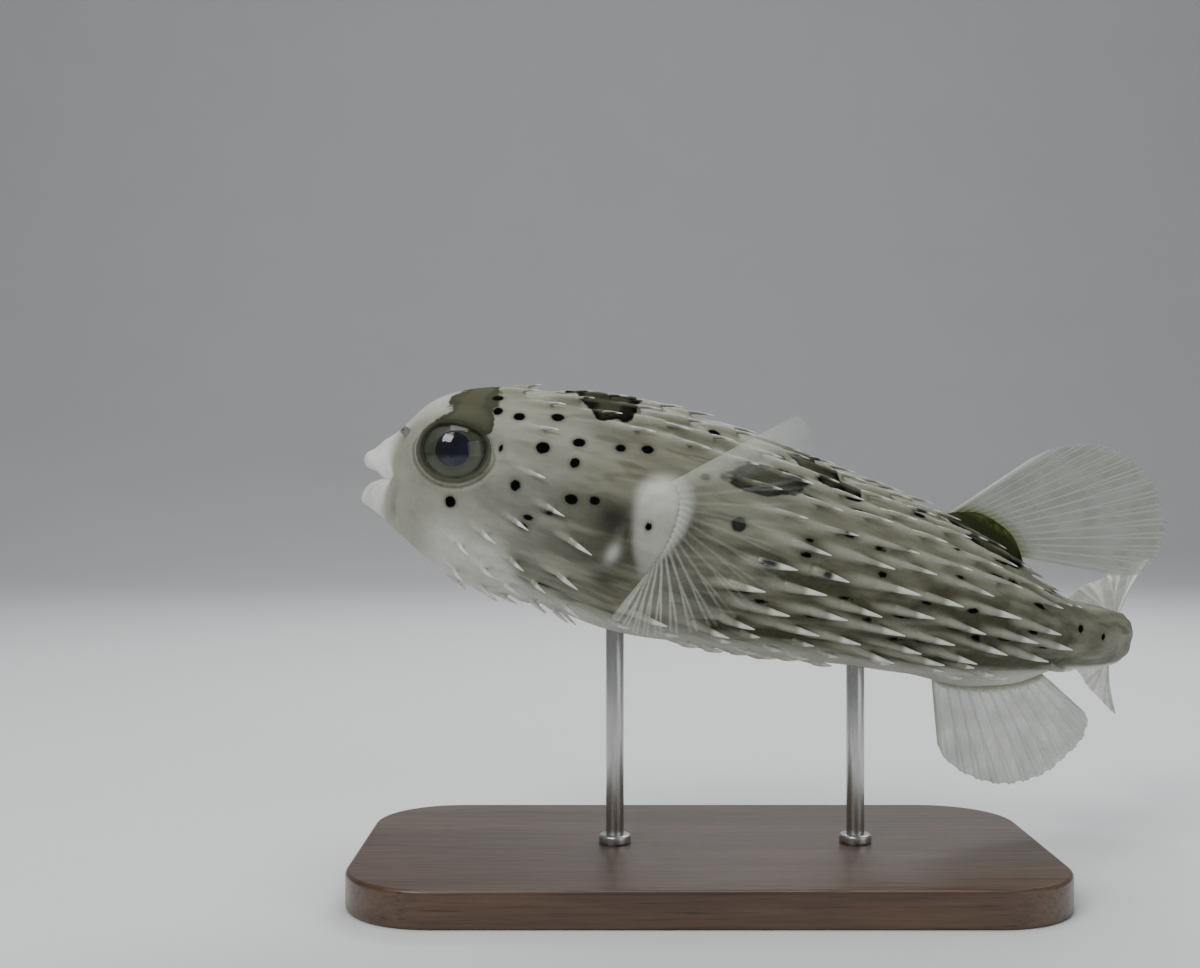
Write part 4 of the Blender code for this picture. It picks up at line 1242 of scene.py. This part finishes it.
def build_spines(settings):
    """Every spine as one ball drawn out to a point and laid along the skin, its root sunk in its sheath."""
    spines, polar, turn = add_ball("spines", settings.sides, settings.rings)
    corners = len(spines.data.loops)
    apply_modifier(spines, "ARRAY", count=len(SPINES), use_relative_offset=True)
    along = (1 - np.cos(polar)) / 2
    radius = 0.00010 + 0.00150 * np.sqrt(np.clip(along / 0.12, 0, 1)) * (1 - along) ** 0.85
    radius = np.where(np.sin(polar) > 1e-4, radius, 0.0)
    s, at, reach, height, lean = [SPINES[:, k, None] for k in range(5)]
    # Slim on the back, fuller low on the flanks, slim again under the head
    down = below_back(at)
    low = rising(down, 1.1, 0.6)
    throat = rising(down, 1.5, 0.3) * falling(s, 0.060, 0.02)
    size = (0.55 + 0.45 * reach / TRUNK_SPINE[0]) * settings.thickness
    size = size * (0.62 + 0.20 * rising(down, 0.4, 0.5) + 0.40 * low)
    size = size * (1 - 0.28 * low * falling(s, 0.062, 0.02))
    x = reach * (-0.20 + 1.20 * along)
    y = radius * np.cos(turn) * size
    rise = np.clip(x / reach, 0.0, 1.0)
    sunk = 0.0008 + 0.0013 * falling(along, 0.0, 0.34)
    bowed = (height + 0.0006) * rise**0.85 + 0.0003 * np.sin(math.pi * rise)
    places = s + x * np.cos(lean) - y * np.sin(lean)
    angles = at + (x * np.sin(lean) + y * np.cos(lean)) / arc_radius(s[:, 0], at[:, 0])[:, None]
    points = over_skin(places, angles, bowed - sunk + radius * np.sin(turn) * size)
    place_points(spines, in_pose(points).reshape(-1, 3))
    kept = marks_of(places.ravel(), angles.ravel())
    kept["marks"][2] = np.maximum(kept["marks"][2], 0.6)
    for name, columns in kept.items():
        keep_attribute(spines, name, columns)
    # High on the flanks only the tips are bare; low down and under the head most of each spine is
    covered = 0.80 - 0.20 * low - 0.12 * throat
    covered = covered + np.random.default_rng(3).uniform(-0.04, 0.04, (len(SPINES), 1))
    keep_attribute(spines, "spine", [(along + 0 * places).ravel(), (covered + 0 * places).ravel(), 0.0])
    patch = map_of(spines).reshape(len(SPINES), corners, 2) % 1.0
    root = map_place(s[:, 0], at[:, 0])[:, None, :]
    keep_map(spines, (root + (patch - 0.5) * settings.patch).reshape(-1, 2))
    face_out(spines)
    finish_piece(spines, spine_material(), "spine")


# Eyes, mouth and nostrils


def on_eye(out, turn, high, side):
    """Points this far out from the eye's axis, round it and along it, in the model's frame."""
    centre, axis, back, rise = eye_frame(side)
    across = (out * np.cos(turn))[:, None] * back + (out * np.sin(turn))[:, None] * rise
    return in_pose(centre + across + high[:, None] * axis)


def build_eyeball(name, side, pupil, flatten):
    """An eyeball with its iris flattened by a share and a low lens in the pupil."""
    eye, polar, turn = add_ball("eyeball_" + name, 96, 96)
    # Rings close together over the iris and far apart at the back
    polar = polar * (0.55 + 0.45 * (polar / math.pi) ** 2)
    out = EYEBALL_RADIUS * np.sin(polar)
    high = EYEBALL_RADIUS * np.cos(polar)
    rim = EYEBALL_RADIUS * math.cos(IRIS_EDGE)
    pupil_edge = math.sqrt(EYEBALL_RADIUS**2 - pupil**2)
    iris = rim + (high - rim) * (1 - flatten)
    lens = rim + (pupil_edge - rim) * (1 - flatten) - 0.00012 + 0.00055 * (1 - (out / pupil) ** 2)
    high = np.where(polar < IRIS_EDGE, np.where(out < pupil, lens, iris), high)
    place_points(eye, on_eye(out, turn, high, side))
    keep_attribute(eye, "eye", [out / MM + FAR * (polar > math.pi / 2), np.sin(turn), np.cos(turn)])
    face_out(eye)
    finish_piece(eye, eye_material(pupil / MM), "eye", "eye_" + name)


def build_cornea(name, side):
    """A clear cap over the front of the eye, closed at its edge."""
    cornea, polar, turn = add_ball("cornea_" + name, 72, 64)
    inner = polar > math.pi / 2
    slope = np.where(inner, math.pi - polar, polar) * CORNEA_EDGE / (math.pi / 2)
    radius = np.where(inner, EYE_RADIUS - CORNEA_THICKNESS, EYE_RADIUS)
    place_points(cornea, on_eye(radius * np.sin(slope), turn, radius * np.cos(slope), side))
    face_out(cornea)
    finish_piece(cornea, cornea_material(), "eye")


def add_slab(name, columns, rows):
    """A closed slab, with its points' places across, along and through it, each -1 to 1."""
    slab = add_primitive(name, "grid", x_subdivisions=columns, y_subdivisions=rows, size=2.0)
    apply_modifier(slab, "SOLIDIFY", thickness=2.0, offset=0.0)
    return slab, np.moveaxis(points_of(slab), 1, 0)


def build_beak(settings):
    """The two tooth plates, each one piece round the front of a jaw."""
    for name, (front, corner, gum, edge) in BEAK.items():
        plate, (across, high, through) = add_slab(name + "_plate", 48, 14)
        turn = across * math.pi / 2
        high = (high + 1) / 2
        x = front[0] + (corner[0] - front[0]) * (1 - np.cos(turn))
        y = corner[1] * np.sin(turn)
        out = unit(np.stack([-np.cos(turn) * corner[1], np.sin(turn) * (corner[0] - front[0]), 0 * turn], -1))
        edge_here = edge * (1 - 0.25 * across**2)
        z = front[1] + (corner[2] - front[1]) * across**2 + gum + (edge_here - gum) * high
        thick = settings.plate / 2 * (1 - 0.82 * high**1.6) * (1 - 0.5 * across**4)
        lean = -0.0004 * (1 - high) - 0.0001 * np.cos(turn * 2)
        points = np.stack([x, y, z], -1) + out * (through * thick + lean)[:, None]
        place_points(plate, in_pose(points))
        face_out(plate)
        finish_piece(plate, beak_material(), "beak", name, angle=50)


def build_nostril(name, side, height):
    """A short fleshy tube before an eye, with a hollow between two low lobes at its top."""
    tube, polar, turn = add_ball("nasal_tube_" + name, 40, 40)
    share = polar / math.pi
    lobe = 0.5 + 0.5 * np.cos(2 * turn)
    high = np.interp(share, NOSTRIL_SHARES, NOSTRIL_HEIGHTS)
    high = high + 0.22 * (lobe - 0.5) * rising(share, 0.2, 0.2) * falling(share, 0.6, 0.2)
    wide = np.interp(share, NOSTRIL_SHARES, NOSTRIL_WIDTHS) * NOSTRIL_RADIUS
    wide = wide * (1 + 0.16 * lobe * rising(high, 0.0, 0.9))
    angle = float(angle_at(*NOSTRIL, side))
    normal = skin_normal(NOSTRIL[0], angle)
    lie = unit(np.array((1.0, 0.0, 0.25)) - (normal[0] + 0.25 * normal[2]) * normal)
    up = unit(normal + np.array((-0.25, 0.0, 0.10)))
    across = np.cos(turn)[:, None] * lie + np.sin(turn)[:, None] * np.cross(normal, lie)
    points = skin_point(NOSTRIL[0], angle) + wide[:, None] * across + (high * height)[:, None] * up
    place_points(tube, in_pose(points))
    keep_attribute(tube, "tube", [share, 0.0, 0.0])
    face_out(tube)
    finish_piece(tube, nostril_material(), "skin", "nostril_" + name)


# Fins


def ray_direction(heading, up, off, side):
    """Which way a ray points: the body's heading, raised by up and turned off it to one side, in radians."""
    heading, up, off = np.broadcast_arrays(heading, up, off)
    fore = np.stack([np.cos(heading), np.sin(heading), 0 * heading], -1)
    across = np.stack([-np.sin(heading), np.cos(heading), 0 * heading], -1) * side
    level = fore * np.cos(up)[..., None] + np.array((0.0, 0.0, 1.0)) * np.sin(up)[..., None]
    return level * np.cos(off)[..., None] + across * np.sin(off)[..., None]


def ray_length(shape, t):
    (first, last), bulge = shape[1:]
    return first + (last - first) * t + bulge * np.sin(math.pi * np.clip(t, 0.0, 1.0)) ** FIN_ROUNDNESS


def ray_angle(shape, t):
    first, last = shape[0]
    return np.radians(first + (last - first) * t)


def keel_rays(shape, root, keel_angle):
    """Roots and ways of the rays of the dorsal or anal fin, for places t across it."""
    start, end, _, height = root
    half = (end - start) / 2

    def rays(t, along):
        first, last = KEEL_RAYS
        place = start + (end - start) * (first + (last - first) * t)
        reach = (place - start - half) / half
        rise = height * np.sqrt(np.maximum(1 - reach**2, 0.0)) + ROOT_EDGE
        foot = over_skin(place, keel_angle + 0 * t, rise)
        way = ray_direction(turned(place), ray_angle(shape, t), 0.10 * np.sin(math.pi * t) * along, 1)
        return foot, way

    return rays


def pectoral_rays(side):
    low, high = PECTORAL_ROOT_Z
    bottom, top = PECTORAL_ROOT_HALF
    first, last, middle = PECTORAL_SPREAD[side]

    def rays(t, along):
        upward = PECTORAL_RAYS * (1 - 2 * t)
        z = (low + high) / 2 + (high - low) / 2 * upward
        half = bottom + (top - bottom) * (upward + 1) / 2
        s = PECTORAL_ROOT[0] + half * np.sqrt(1 - upward**2) - 0.0006
        foot = over_skin(s, angle_at(s, z, side), 0.0022 + 0 * t)
        off = first + (last - first) * t + (middle - (first + last) / 2) * np.sin(math.pi * t)
        off = np.radians(off - 5.0 * along)
        return foot, ray_direction(0.0 * t, ray_angle(PECTORAL_FIN, t), off, side)

    return rays


def caudal_rays(t, along):
    s, top, bottom = CAUDAL_ROOT
    foot = spine_at(s + 0 * t) + np.stack([0 * t, 0 * t, top + (bottom - top) * t], -1)
    cup = CAUDAL_CUP[0] + (CAUDAL_CUP[1] - CAUDAL_CUP[0]) * np.sin(math.pi * t)
    heading = turned(np.array(s)) + cup * (CAUDAL_FIRST_TURN + (1 - CAUDAL_FIRST_TURN) * along)
    return foot, ray_direction(heading, ray_angle(CAUDAL_FIN, t), 0.0, 1)


# For each fin: its rays, their shape and what places them, how far into the flesh they start, the depth of
# its ripples, how many rays its leading rim takes up, and how much the rim at its tip shows
FINS = {
    "dorsal": (14, DORSAL_FIN, keel_rays(DORSAL_FIN, DORSAL_ROOT, BACK), 0.0035, 0.0005, 0.9, 0.5),
    "anal": (12, ANAL_FIN, keel_rays(ANAL_FIN, ANAL_ROOT, BELLY), 0.0025, 0.0004, 0.9, 0.5),
    "caudal": (9, CAUDAL_FIN, caudal_rays, 0.0030, 0.0006, 0.9, 0.5),
    "pectoral_left": (18, PECTORAL_FIN, pectoral_rays(-1), 0.0022, 0.0010, 2.2, 0.12),
    "pectoral_right": (18, PECTORAL_FIN, pectoral_rays(1), 0.0022, 0.0010, 2.2, 0.12),
}
RAY_COLUMNS = 8


def beside_ray(order, half, fork):
    """Where a ray's columns lie across its strip of web, -0.5 to 0.5, close together on its two branches."""
    inner = np.maximum(fork - 0.5 * half, 0.2 * half)
    offsets = np.stack([-0.5 + 0 * half, -(fork + 1.5 * half), -(fork + 0.5 * half), -inner, 0 * half])
    past = order > RAY_COLUMNS // 2
    mirrored = np.where(past, RAY_COLUMNS - order, order)
    offset = np.where(past, -1.0, 1.0) * offsets[mirrored, np.arange(len(half))]
    return np.where(order == RAY_COLUMNS, 0.5, offset)


def build_fin(name, settings):
    """A fin's web, thickened along its rays, which branch halfway to the edge."""
    count, shape, rays, sunk, ripple, rim_rays, tip_rim = FINS[name]
    slab, (across, along, through) = add_slab("web_" + name, RAY_COLUMNS * count, settings.rows)
    column = np.rint((across + 1) / 2 * RAY_COLUMNS * count).astype(int)
    ray = np.minimum(column // RAY_COLUMNS, count - 1)
    share = (along + 1) / 2
    middle = (ray + 0.5) / count

    def points_at(t, share):
        foot, way = rays(t, share)
        reach = ray_length(shape, t) * share - sunk * (1 - share)
        # Ripples of the web, which grow from nothing at its root
        wave = np.sin(9.0 * t + 1.3) + 0.6 * np.sin(23.0 * t + 4.0 * share)
        lift = ripple * wave * np.maximum(share, 0.0) ** 1.6
        beside = unit(foot - rays(np.clip(t + 0.02, 0, 1), share)[0] + 1e-9)
        return foot + way * reach[:, None] + unit(np.cross(way, beside)) * lift[:, None]

    # Places across the web, with t from 0 at the first ray to 1 at the last
    quarter = 0.25 / count
    strip = np.linalg.norm(points_at(middle + quarter, share) - points_at(middle - quarter, share), axis=-1)
    half = np.clip(settings.ray_width / 2 / np.maximum(strip, 1e-5), 0.03, 0.30) * (1 - 0.45 * share)
    fork = 0.20 * rising(share, 0.42, 0.45)
    offset = beside_ray(column - ray * RAY_COLUMNS, half, fork)
    t = np.clip(middle + offset / count, 0.0, 1.0)
    # The rays' ribs, the rims beside the first and last rays, and notches in the edge between rays
    rib = falling(np.abs((np.abs(offset) - fork) / half), 0.5, 1.0)
    rib = np.where((np.abs(offset) < fork) & (rib < 0.5), rib * 0.8, rib)
    side_rim = np.clip(1 - np.minimum(t, 1 - t) * count / 0.55, 0.0, 1.0)
    notch = 1 - settings.scallop * rising(share, 0.86, 0.14) * (1 - rib) * (0.5 + np.abs(offset))
    points = points_at(t, share * notch)
    across_web = points_at(np.clip(t + 0.004, 0, 1), share) - points_at(np.clip(t - 0.004, 0, 1), share)
    along_web = points_at(t, share + 0.01) - points_at(t, share - 0.01)
    normal = unit(np.cross(along_web, across_web))
    ribbed = (settings.ray / 2 - settings.web / 2) * np.maximum(rib, side_rim) * (1 - 0.55 * share)
    thick = (settings.web / 2 + ribbed) * (1 - 0.75 * rising(share, 0.93, 0.07))
    place_points(slab, in_pose(points + normal * (through * thick)[:, None]))
    rim = np.maximum(falling(t * count, 0.0, rim_rays), tip_rim * rising(share, 0.95, 0.05))
    keep_attribute(slab, "fin", [np.maximum(rib, 0.8 * side_rim), share, rim])
    keep_attribute(slab, "fan", [t, 0.0, 0.0])
    face_out(slab)
    finish_piece(slab, fin_finish(name), "fin", "fin_" + name)


def fin_finish(name):
    if name.startswith("pectoral"):
        web, ray, root = (0.52, 0.54, 0.50), (0.66, 0.68, 0.62), (0.56, 0.57, 0.50)
        return fin_material("pectoral_web", web, ray, root, 0.11, 0.34, rim=0.30, veil=0.20, tip=0.35)
    if name == "caudal":
        web, ray, root = (0.36, 0.38, 0.30), (0.48, 0.50, 0.40), (0.30, 0.31, 0.22)
        return fin_material("caudal_web", web, ray, root, 0.46, 0.80)
    web, ray, root = (0.38, 0.41, 0.34), (0.45, 0.48, 0.39), (0.20, 0.23, 0.08)
    return fin_material("keel_web_" + name, web, ray, root, 0.46, 0.60)


# The stand and the stage


def add_steel(name, radius, depth, middle, edge, segments):
    """An upright steel cylinder with rounded edges."""
    piece = add_primitive(name, "cylinder", vertices=64, radius=radius, depth=depth)
    place_points(piece, points_of(piece) + middle)
    bevel(piece, edge, segments)
    face_out(piece)
    return piece


def build_stand(settings):
    board = add_primitive("stand_board", "plane", size=1.0)
    place_points(board, points_of(board) * (BASE_SIZE[0], BASE_SIZE[1], 1.0))
    apply_modifier(board, "BEVEL", affect="VERTICES", width=BASE_CORNER, segments=20, limit_method="NONE")
    apply_modifier(board, "SOLIDIFY", thickness=BASE_SIZE[2], offset=1.0)
    bevel(board, settings.bevel, 5)
    points = points_of(board)
    place_points(board, points - (0.0, 0.0, points[:, 2].min()))
    face_out(board)
    finish_piece(board, wood_material(), "stand_wood", "stand_base", angle=35)
    steel = steel_material()
    for name, s in zip(("front", "rear"), RODS_ON):
        x, y, belly = in_pose(skin_point(s, BELLY))
        depth = belly + ROD_IN_BODY - ROD_FOOT
        middle = (x, y, ROD_FOOT + depth / 2)
        rod = add_steel("stand_steel_rod_" + name, ROD_RADIUS, depth, middle, ROD_BEVEL, 2)
        finish_piece(rod, steel, "stand_metal", "stand_rod_" + name, angle=35)
        middle = (x, y, BASE_SIZE[2] + COLLAR_HEIGHT / 2 - COLLAR_SUNK)
        collar = add_steel("stand_collar_" + name, settings.collar, COLLAR_HEIGHT, middle, COLLAR_BEVEL, 4)
        finish_piece(collar, steel, "stand_metal", angle=35)


def add_light(name, place, aim, size, power, colour):
    select_only()
    bpy.ops.object.light_add(type="AREA", location=place)
    lamp = bpy.context.object
    lamp.name = name
    lamp.data.shape = "RECTANGLE"
    lamp.data.size, lamp.data.size_y = size
    lamp.data.energy = power
    lamp.data.color = colour
    lamp.rotation_euler = (Vector(aim) - Vector(place)).to_track_quat("-Z", "Y").to_euler()


def build_backdrop():
    """A floor that bends up into a wall, seen by the camera as one even ground."""
    backdrop = add_primitive("backdrop", "grid", x_subdivisions=8, y_subdivisions=90, size=1.0)
    x, y, _ = points_of(backdrop).T
    run = (y + 0.5) * (FLOOR_LENGTH + WALL_RISE)
    turn = np.clip((run - FLOOR_LENGTH) / WALL_BEND, 0.0, math.pi / 2)
    past = np.maximum(run - FLOOR_LENGTH - WALL_BEND * math.pi / 2, 0.0)
    depth = np.minimum(run, FLOOR_LENGTH) + WALL_BEND * np.sin(turn) - STAGE_FRONT
    height = WALL_BEND * (1 - np.cos(turn)) + past
    place_points(backdrop, np.stack([x * STAGE_WIDTH, depth, height], -1))
    backdrop.data.materials.append(stage_material())
    select_only(backdrop)
    bpy.ops.object.shade_smooth()


def build_stage(settings):
    build_backdrop()
    for name, place, size, power, colour in LAMPS:
        add_light(name, place, LAMPS_AIM, size, power * settings.light, colour)

    world = bpy.data.worlds.new("grey_room")
    world.use_nodes = True
    back = world.node_tree.nodes["Background"]
    Tree(world.node_tree).fill(back, Color=(0.80, 0.83, 0.86), Strength=settings.room)
    bpy.context.scene.world = world

    select_only()
    bpy.ops.object.camera_add(location=CAMERA_AT, rotation=(math.pi / 2, 0.0, 0.0))
    camera = bpy.context.object
    camera.name = "camera"
    camera.data.lens = 45.0
    camera.data.clip_start = 0.01
    bpy.context.scene.camera = camera


# Settings, one group for each button


def colour_setting(name, description, default):
    options = {"subtype": "COLOR", "min": 0.0, "max": 1.0}
    return FloatVectorProperty(name=name, description=description, default=default, **options)


def length_setting(name, description, default):
    return FloatProperty(name=name, description=description, default=default, min=0.0, unit="LENGTH")


def factor_setting(name, description, default):
    return FloatProperty(name=name, description=description, default=default, min=0.0)


def count_setting(name, description, default, least):
    return IntProperty(name=name, description=description, default=default, min=least)


class ColourSettings(bpy.types.PropertyGroup):
    ground: colour_setting("Ground", "Colour of the sides", (0.295, 0.292, 0.222))
    shade: colour_setting("Shade", "Olive between the ridges", (0.058, 0.057, 0.032))
    belly: colour_setting("Belly", "Colour of the underside", (0.62, 0.63, 0.58))
    bar: colour_setting("Bars", "Colour of the bars", (0.062, 0.060, 0.036))
    brow: colour_setting("Brow", "Colour of the bar over the eyes", (0.105, 0.107, 0.072))
    spot: colour_setting("Spots", "Colour of the spots", (0.003, 0.003, 0.004))


class SkinSettings(bpy.types.PropertyGroup):
    segments: count_setting("Segments", "Columns of faces round the body", 270, 60)
    relief: factor_setting("Relief", "Height of the skin's ridges and folds", 1.0)


class SpineSettings(bpy.types.PropertyGroup):
    sides: count_setting("Sides", "Faces round a spine", 12, 6)
    rings: count_setting("Rings", "Rings along a spine", 16, 6)
    thickness: factor_setting("Thickness", "Scale of the spines' radius", 1.0)
    patch: factor_setting("Map patch", "Width of a spine's patch on the map", 0.003)


class EyeSettings(bpy.types.PropertyGroup):
    pupil: length_setting("Pupil", "Radius of the pupil", 0.00465)
    dish: factor_setting("Dish", "How much the iris is flattened, up to 1", 0.35)


class MouthSettings(bpy.types.PropertyGroup):
    plate: length_setting("Plate", "Thickness of the tooth plates", 0.0012)


class NostrilSettings(bpy.types.PropertyGroup):
    height: length_setting("Height", "Height of the tubes", 0.0018)


class FinSettings(bpy.types.PropertyGroup):
    rows: count_setting("Rows", "Rows of faces along the rays", 30, 6)
    web: length_setting("Web", "Thickness of the web", 0.00022)
    ray: length_setting("Rays", "Thickness of the rays", 0.00062)
    ray_width: length_setting("Ray width", "Width of the rays", 0.00042)
    scallop: factor_setting("Scallops", "Depth of the notches between the rays", 0.018)


class StandSettings(bpy.types.PropertyGroup):
    bevel: length_setting("Bevel", "Rounding of the board's edge", 0.0012)
    collar: length_setting("Collar", "Radius of the rods' collars", 0.0045)


class StageSettings(bpy.types.PropertyGroup):
    light: factor_setting("Light", "Strength of the lamps", 1.0)
    room: factor_setting("Room", "Strength of the room's grey light", 0.24)


# Buttons


class BuildSkin(bpy.types.Operator):
    """Build the skin as one piece, from the mouth's lining to the tail"""

    bl_idname = "porcupinefish.skin"
    bl_label = "Skin"

    def execute(self, context):
        build_skin(context.scene.porcupine_skin)
        return {"FINISHED"}


class BuildSpines(bpy.types.Operator):
    """Build the coat of spines over the skin"""

    bl_idname = "porcupinefish.spines"
    bl_label = "Spines"

    def execute(self, context):
        build_spines(context.scene.porcupine_spines)
        return {"FINISHED"}


class BuildEyes(bpy.types.Operator):
    """Build both eyes, each with a clear cornea"""

    bl_idname = "porcupinefish.eyes"
    bl_label = "Eyes"

    def execute(self, context):
        settings = context.scene.porcupine_eyes
        for name, side in SIDES:
            build_eyeball(name, side, settings.pupil, settings.dish)
            build_cornea(name, side)
        return {"FINISHED"}


class BuildBeak(bpy.types.Operator):
    """Build the two tooth plates in the mouth"""

    bl_idname = "porcupinefish.beak"
    bl_label = "Beak"

    def execute(self, context):
        build_beak(context.scene.porcupine_mouth)
        return {"FINISHED"}


class BuildNostrils(bpy.types.Operator):
    """Build the nasal tubes before the eyes"""

    bl_idname = "porcupinefish.nostrils"
    bl_label = "Nostrils"

    def execute(self, context):
        for name, side in SIDES:
            build_nostril(name, side, context.scene.porcupine_nostrils.height)
        return {"FINISHED"}


class BuildFins(bpy.types.Operator):
    """Build the dorsal, anal, tail and pectoral fins"""

    bl_idname = "porcupinefish.fins"
    bl_label = "Fins"

    def execute(self, context):
        for name in FINS:
            build_fin(name, context.scene.porcupine_fins)
        return {"FINISHED"}


class BuildStand(bpy.types.Operator):
    """Build the display stand: a board and two steel rods"""

    bl_idname = "porcupinefish.stand"
    bl_label = "Stand"

    def execute(self, context):
        build_stand(context.scene.porcupine_stand)
        return {"FINISHED"}


class BuildStage(bpy.types.Operator):
    """Set the backdrop, lamps, room light and camera"""

    bl_idname = "porcupinefish.stage"
    bl_label = "Stage"

    def execute(self, context):
        build_stage(context.scene.porcupine_stage)
        return {"FINISHED"}


GROUPS = {
    "porcupine_colours": ColourSettings,
    "porcupine_skin": SkinSettings,
    "porcupine_spines": SpineSettings,
    "porcupine_eyes": EyeSettings,
    "porcupine_mouth": MouthSettings,
    "porcupine_nostrils": NostrilSettings,
    "porcupine_fins": FinSettings,
    "porcupine_stand": StandSettings,
    "porcupine_stage": StageSettings,
}
BUTTONS = (BuildSkin, BuildSpines, BuildEyes, BuildBeak, BuildNostrils, BuildFins, BuildStand, BuildStage)


class PorcupinefishPanel(bpy.types.Panel):
    bl_label = "Porcupinefish"
    bl_idname = "VIEW3D_PT_porcupinefish"
    bl_space_type = "VIEW_3D"
    bl_region_type = "UI"
    bl_category = "Porcupinefish"

    def draw(self, context):
        groups = list(GROUPS)
        self.draw_group(context, groups[0])
        for button, group in zip(BUTTONS, groups[1:]):
            self.draw_group(context, group)
            self.layout.operator(button.bl_idname)

    def draw_group(self, context, name):
        box = self.layout.box()
        settings = getattr(context.scene, name)
        for key in GROUPS[name].__annotations__:
            box.prop(settings, key)


def register():
    for name, group in GROUPS.items():
        bpy.utils.register_class(group)
        setattr(bpy.types.Scene, name, PointerProperty(type=group))
    for button in BUTTONS:
        bpy.utils.register_class(button)
    bpy.utils.register_class(PorcupinefishPanel)


def unregister():
    bpy.utils.unregister_class(PorcupinefishPanel)
    for button in reversed(BUTTONS):
        bpy.utils.unregister_class(button)
    for name, group in reversed(list(GROUPS.items())):
        delattr(bpy.types.Scene, name)
        bpy.utils.unregister_class(group)


def main():
    register()
    bpy.ops.porcupinefish.skin()
    bpy.ops.porcupinefish.spines()
    bpy.ops.porcupinefish.eyes()
    bpy.ops.porcupinefish.beak()
    bpy.ops.porcupinefish.nostrils()
    bpy.ops.porcupinefish.fins()
    bpy.ops.porcupinefish.stand()
    bpy.ops.porcupinefish.stage()


if __name__ == "__main__":
    main()
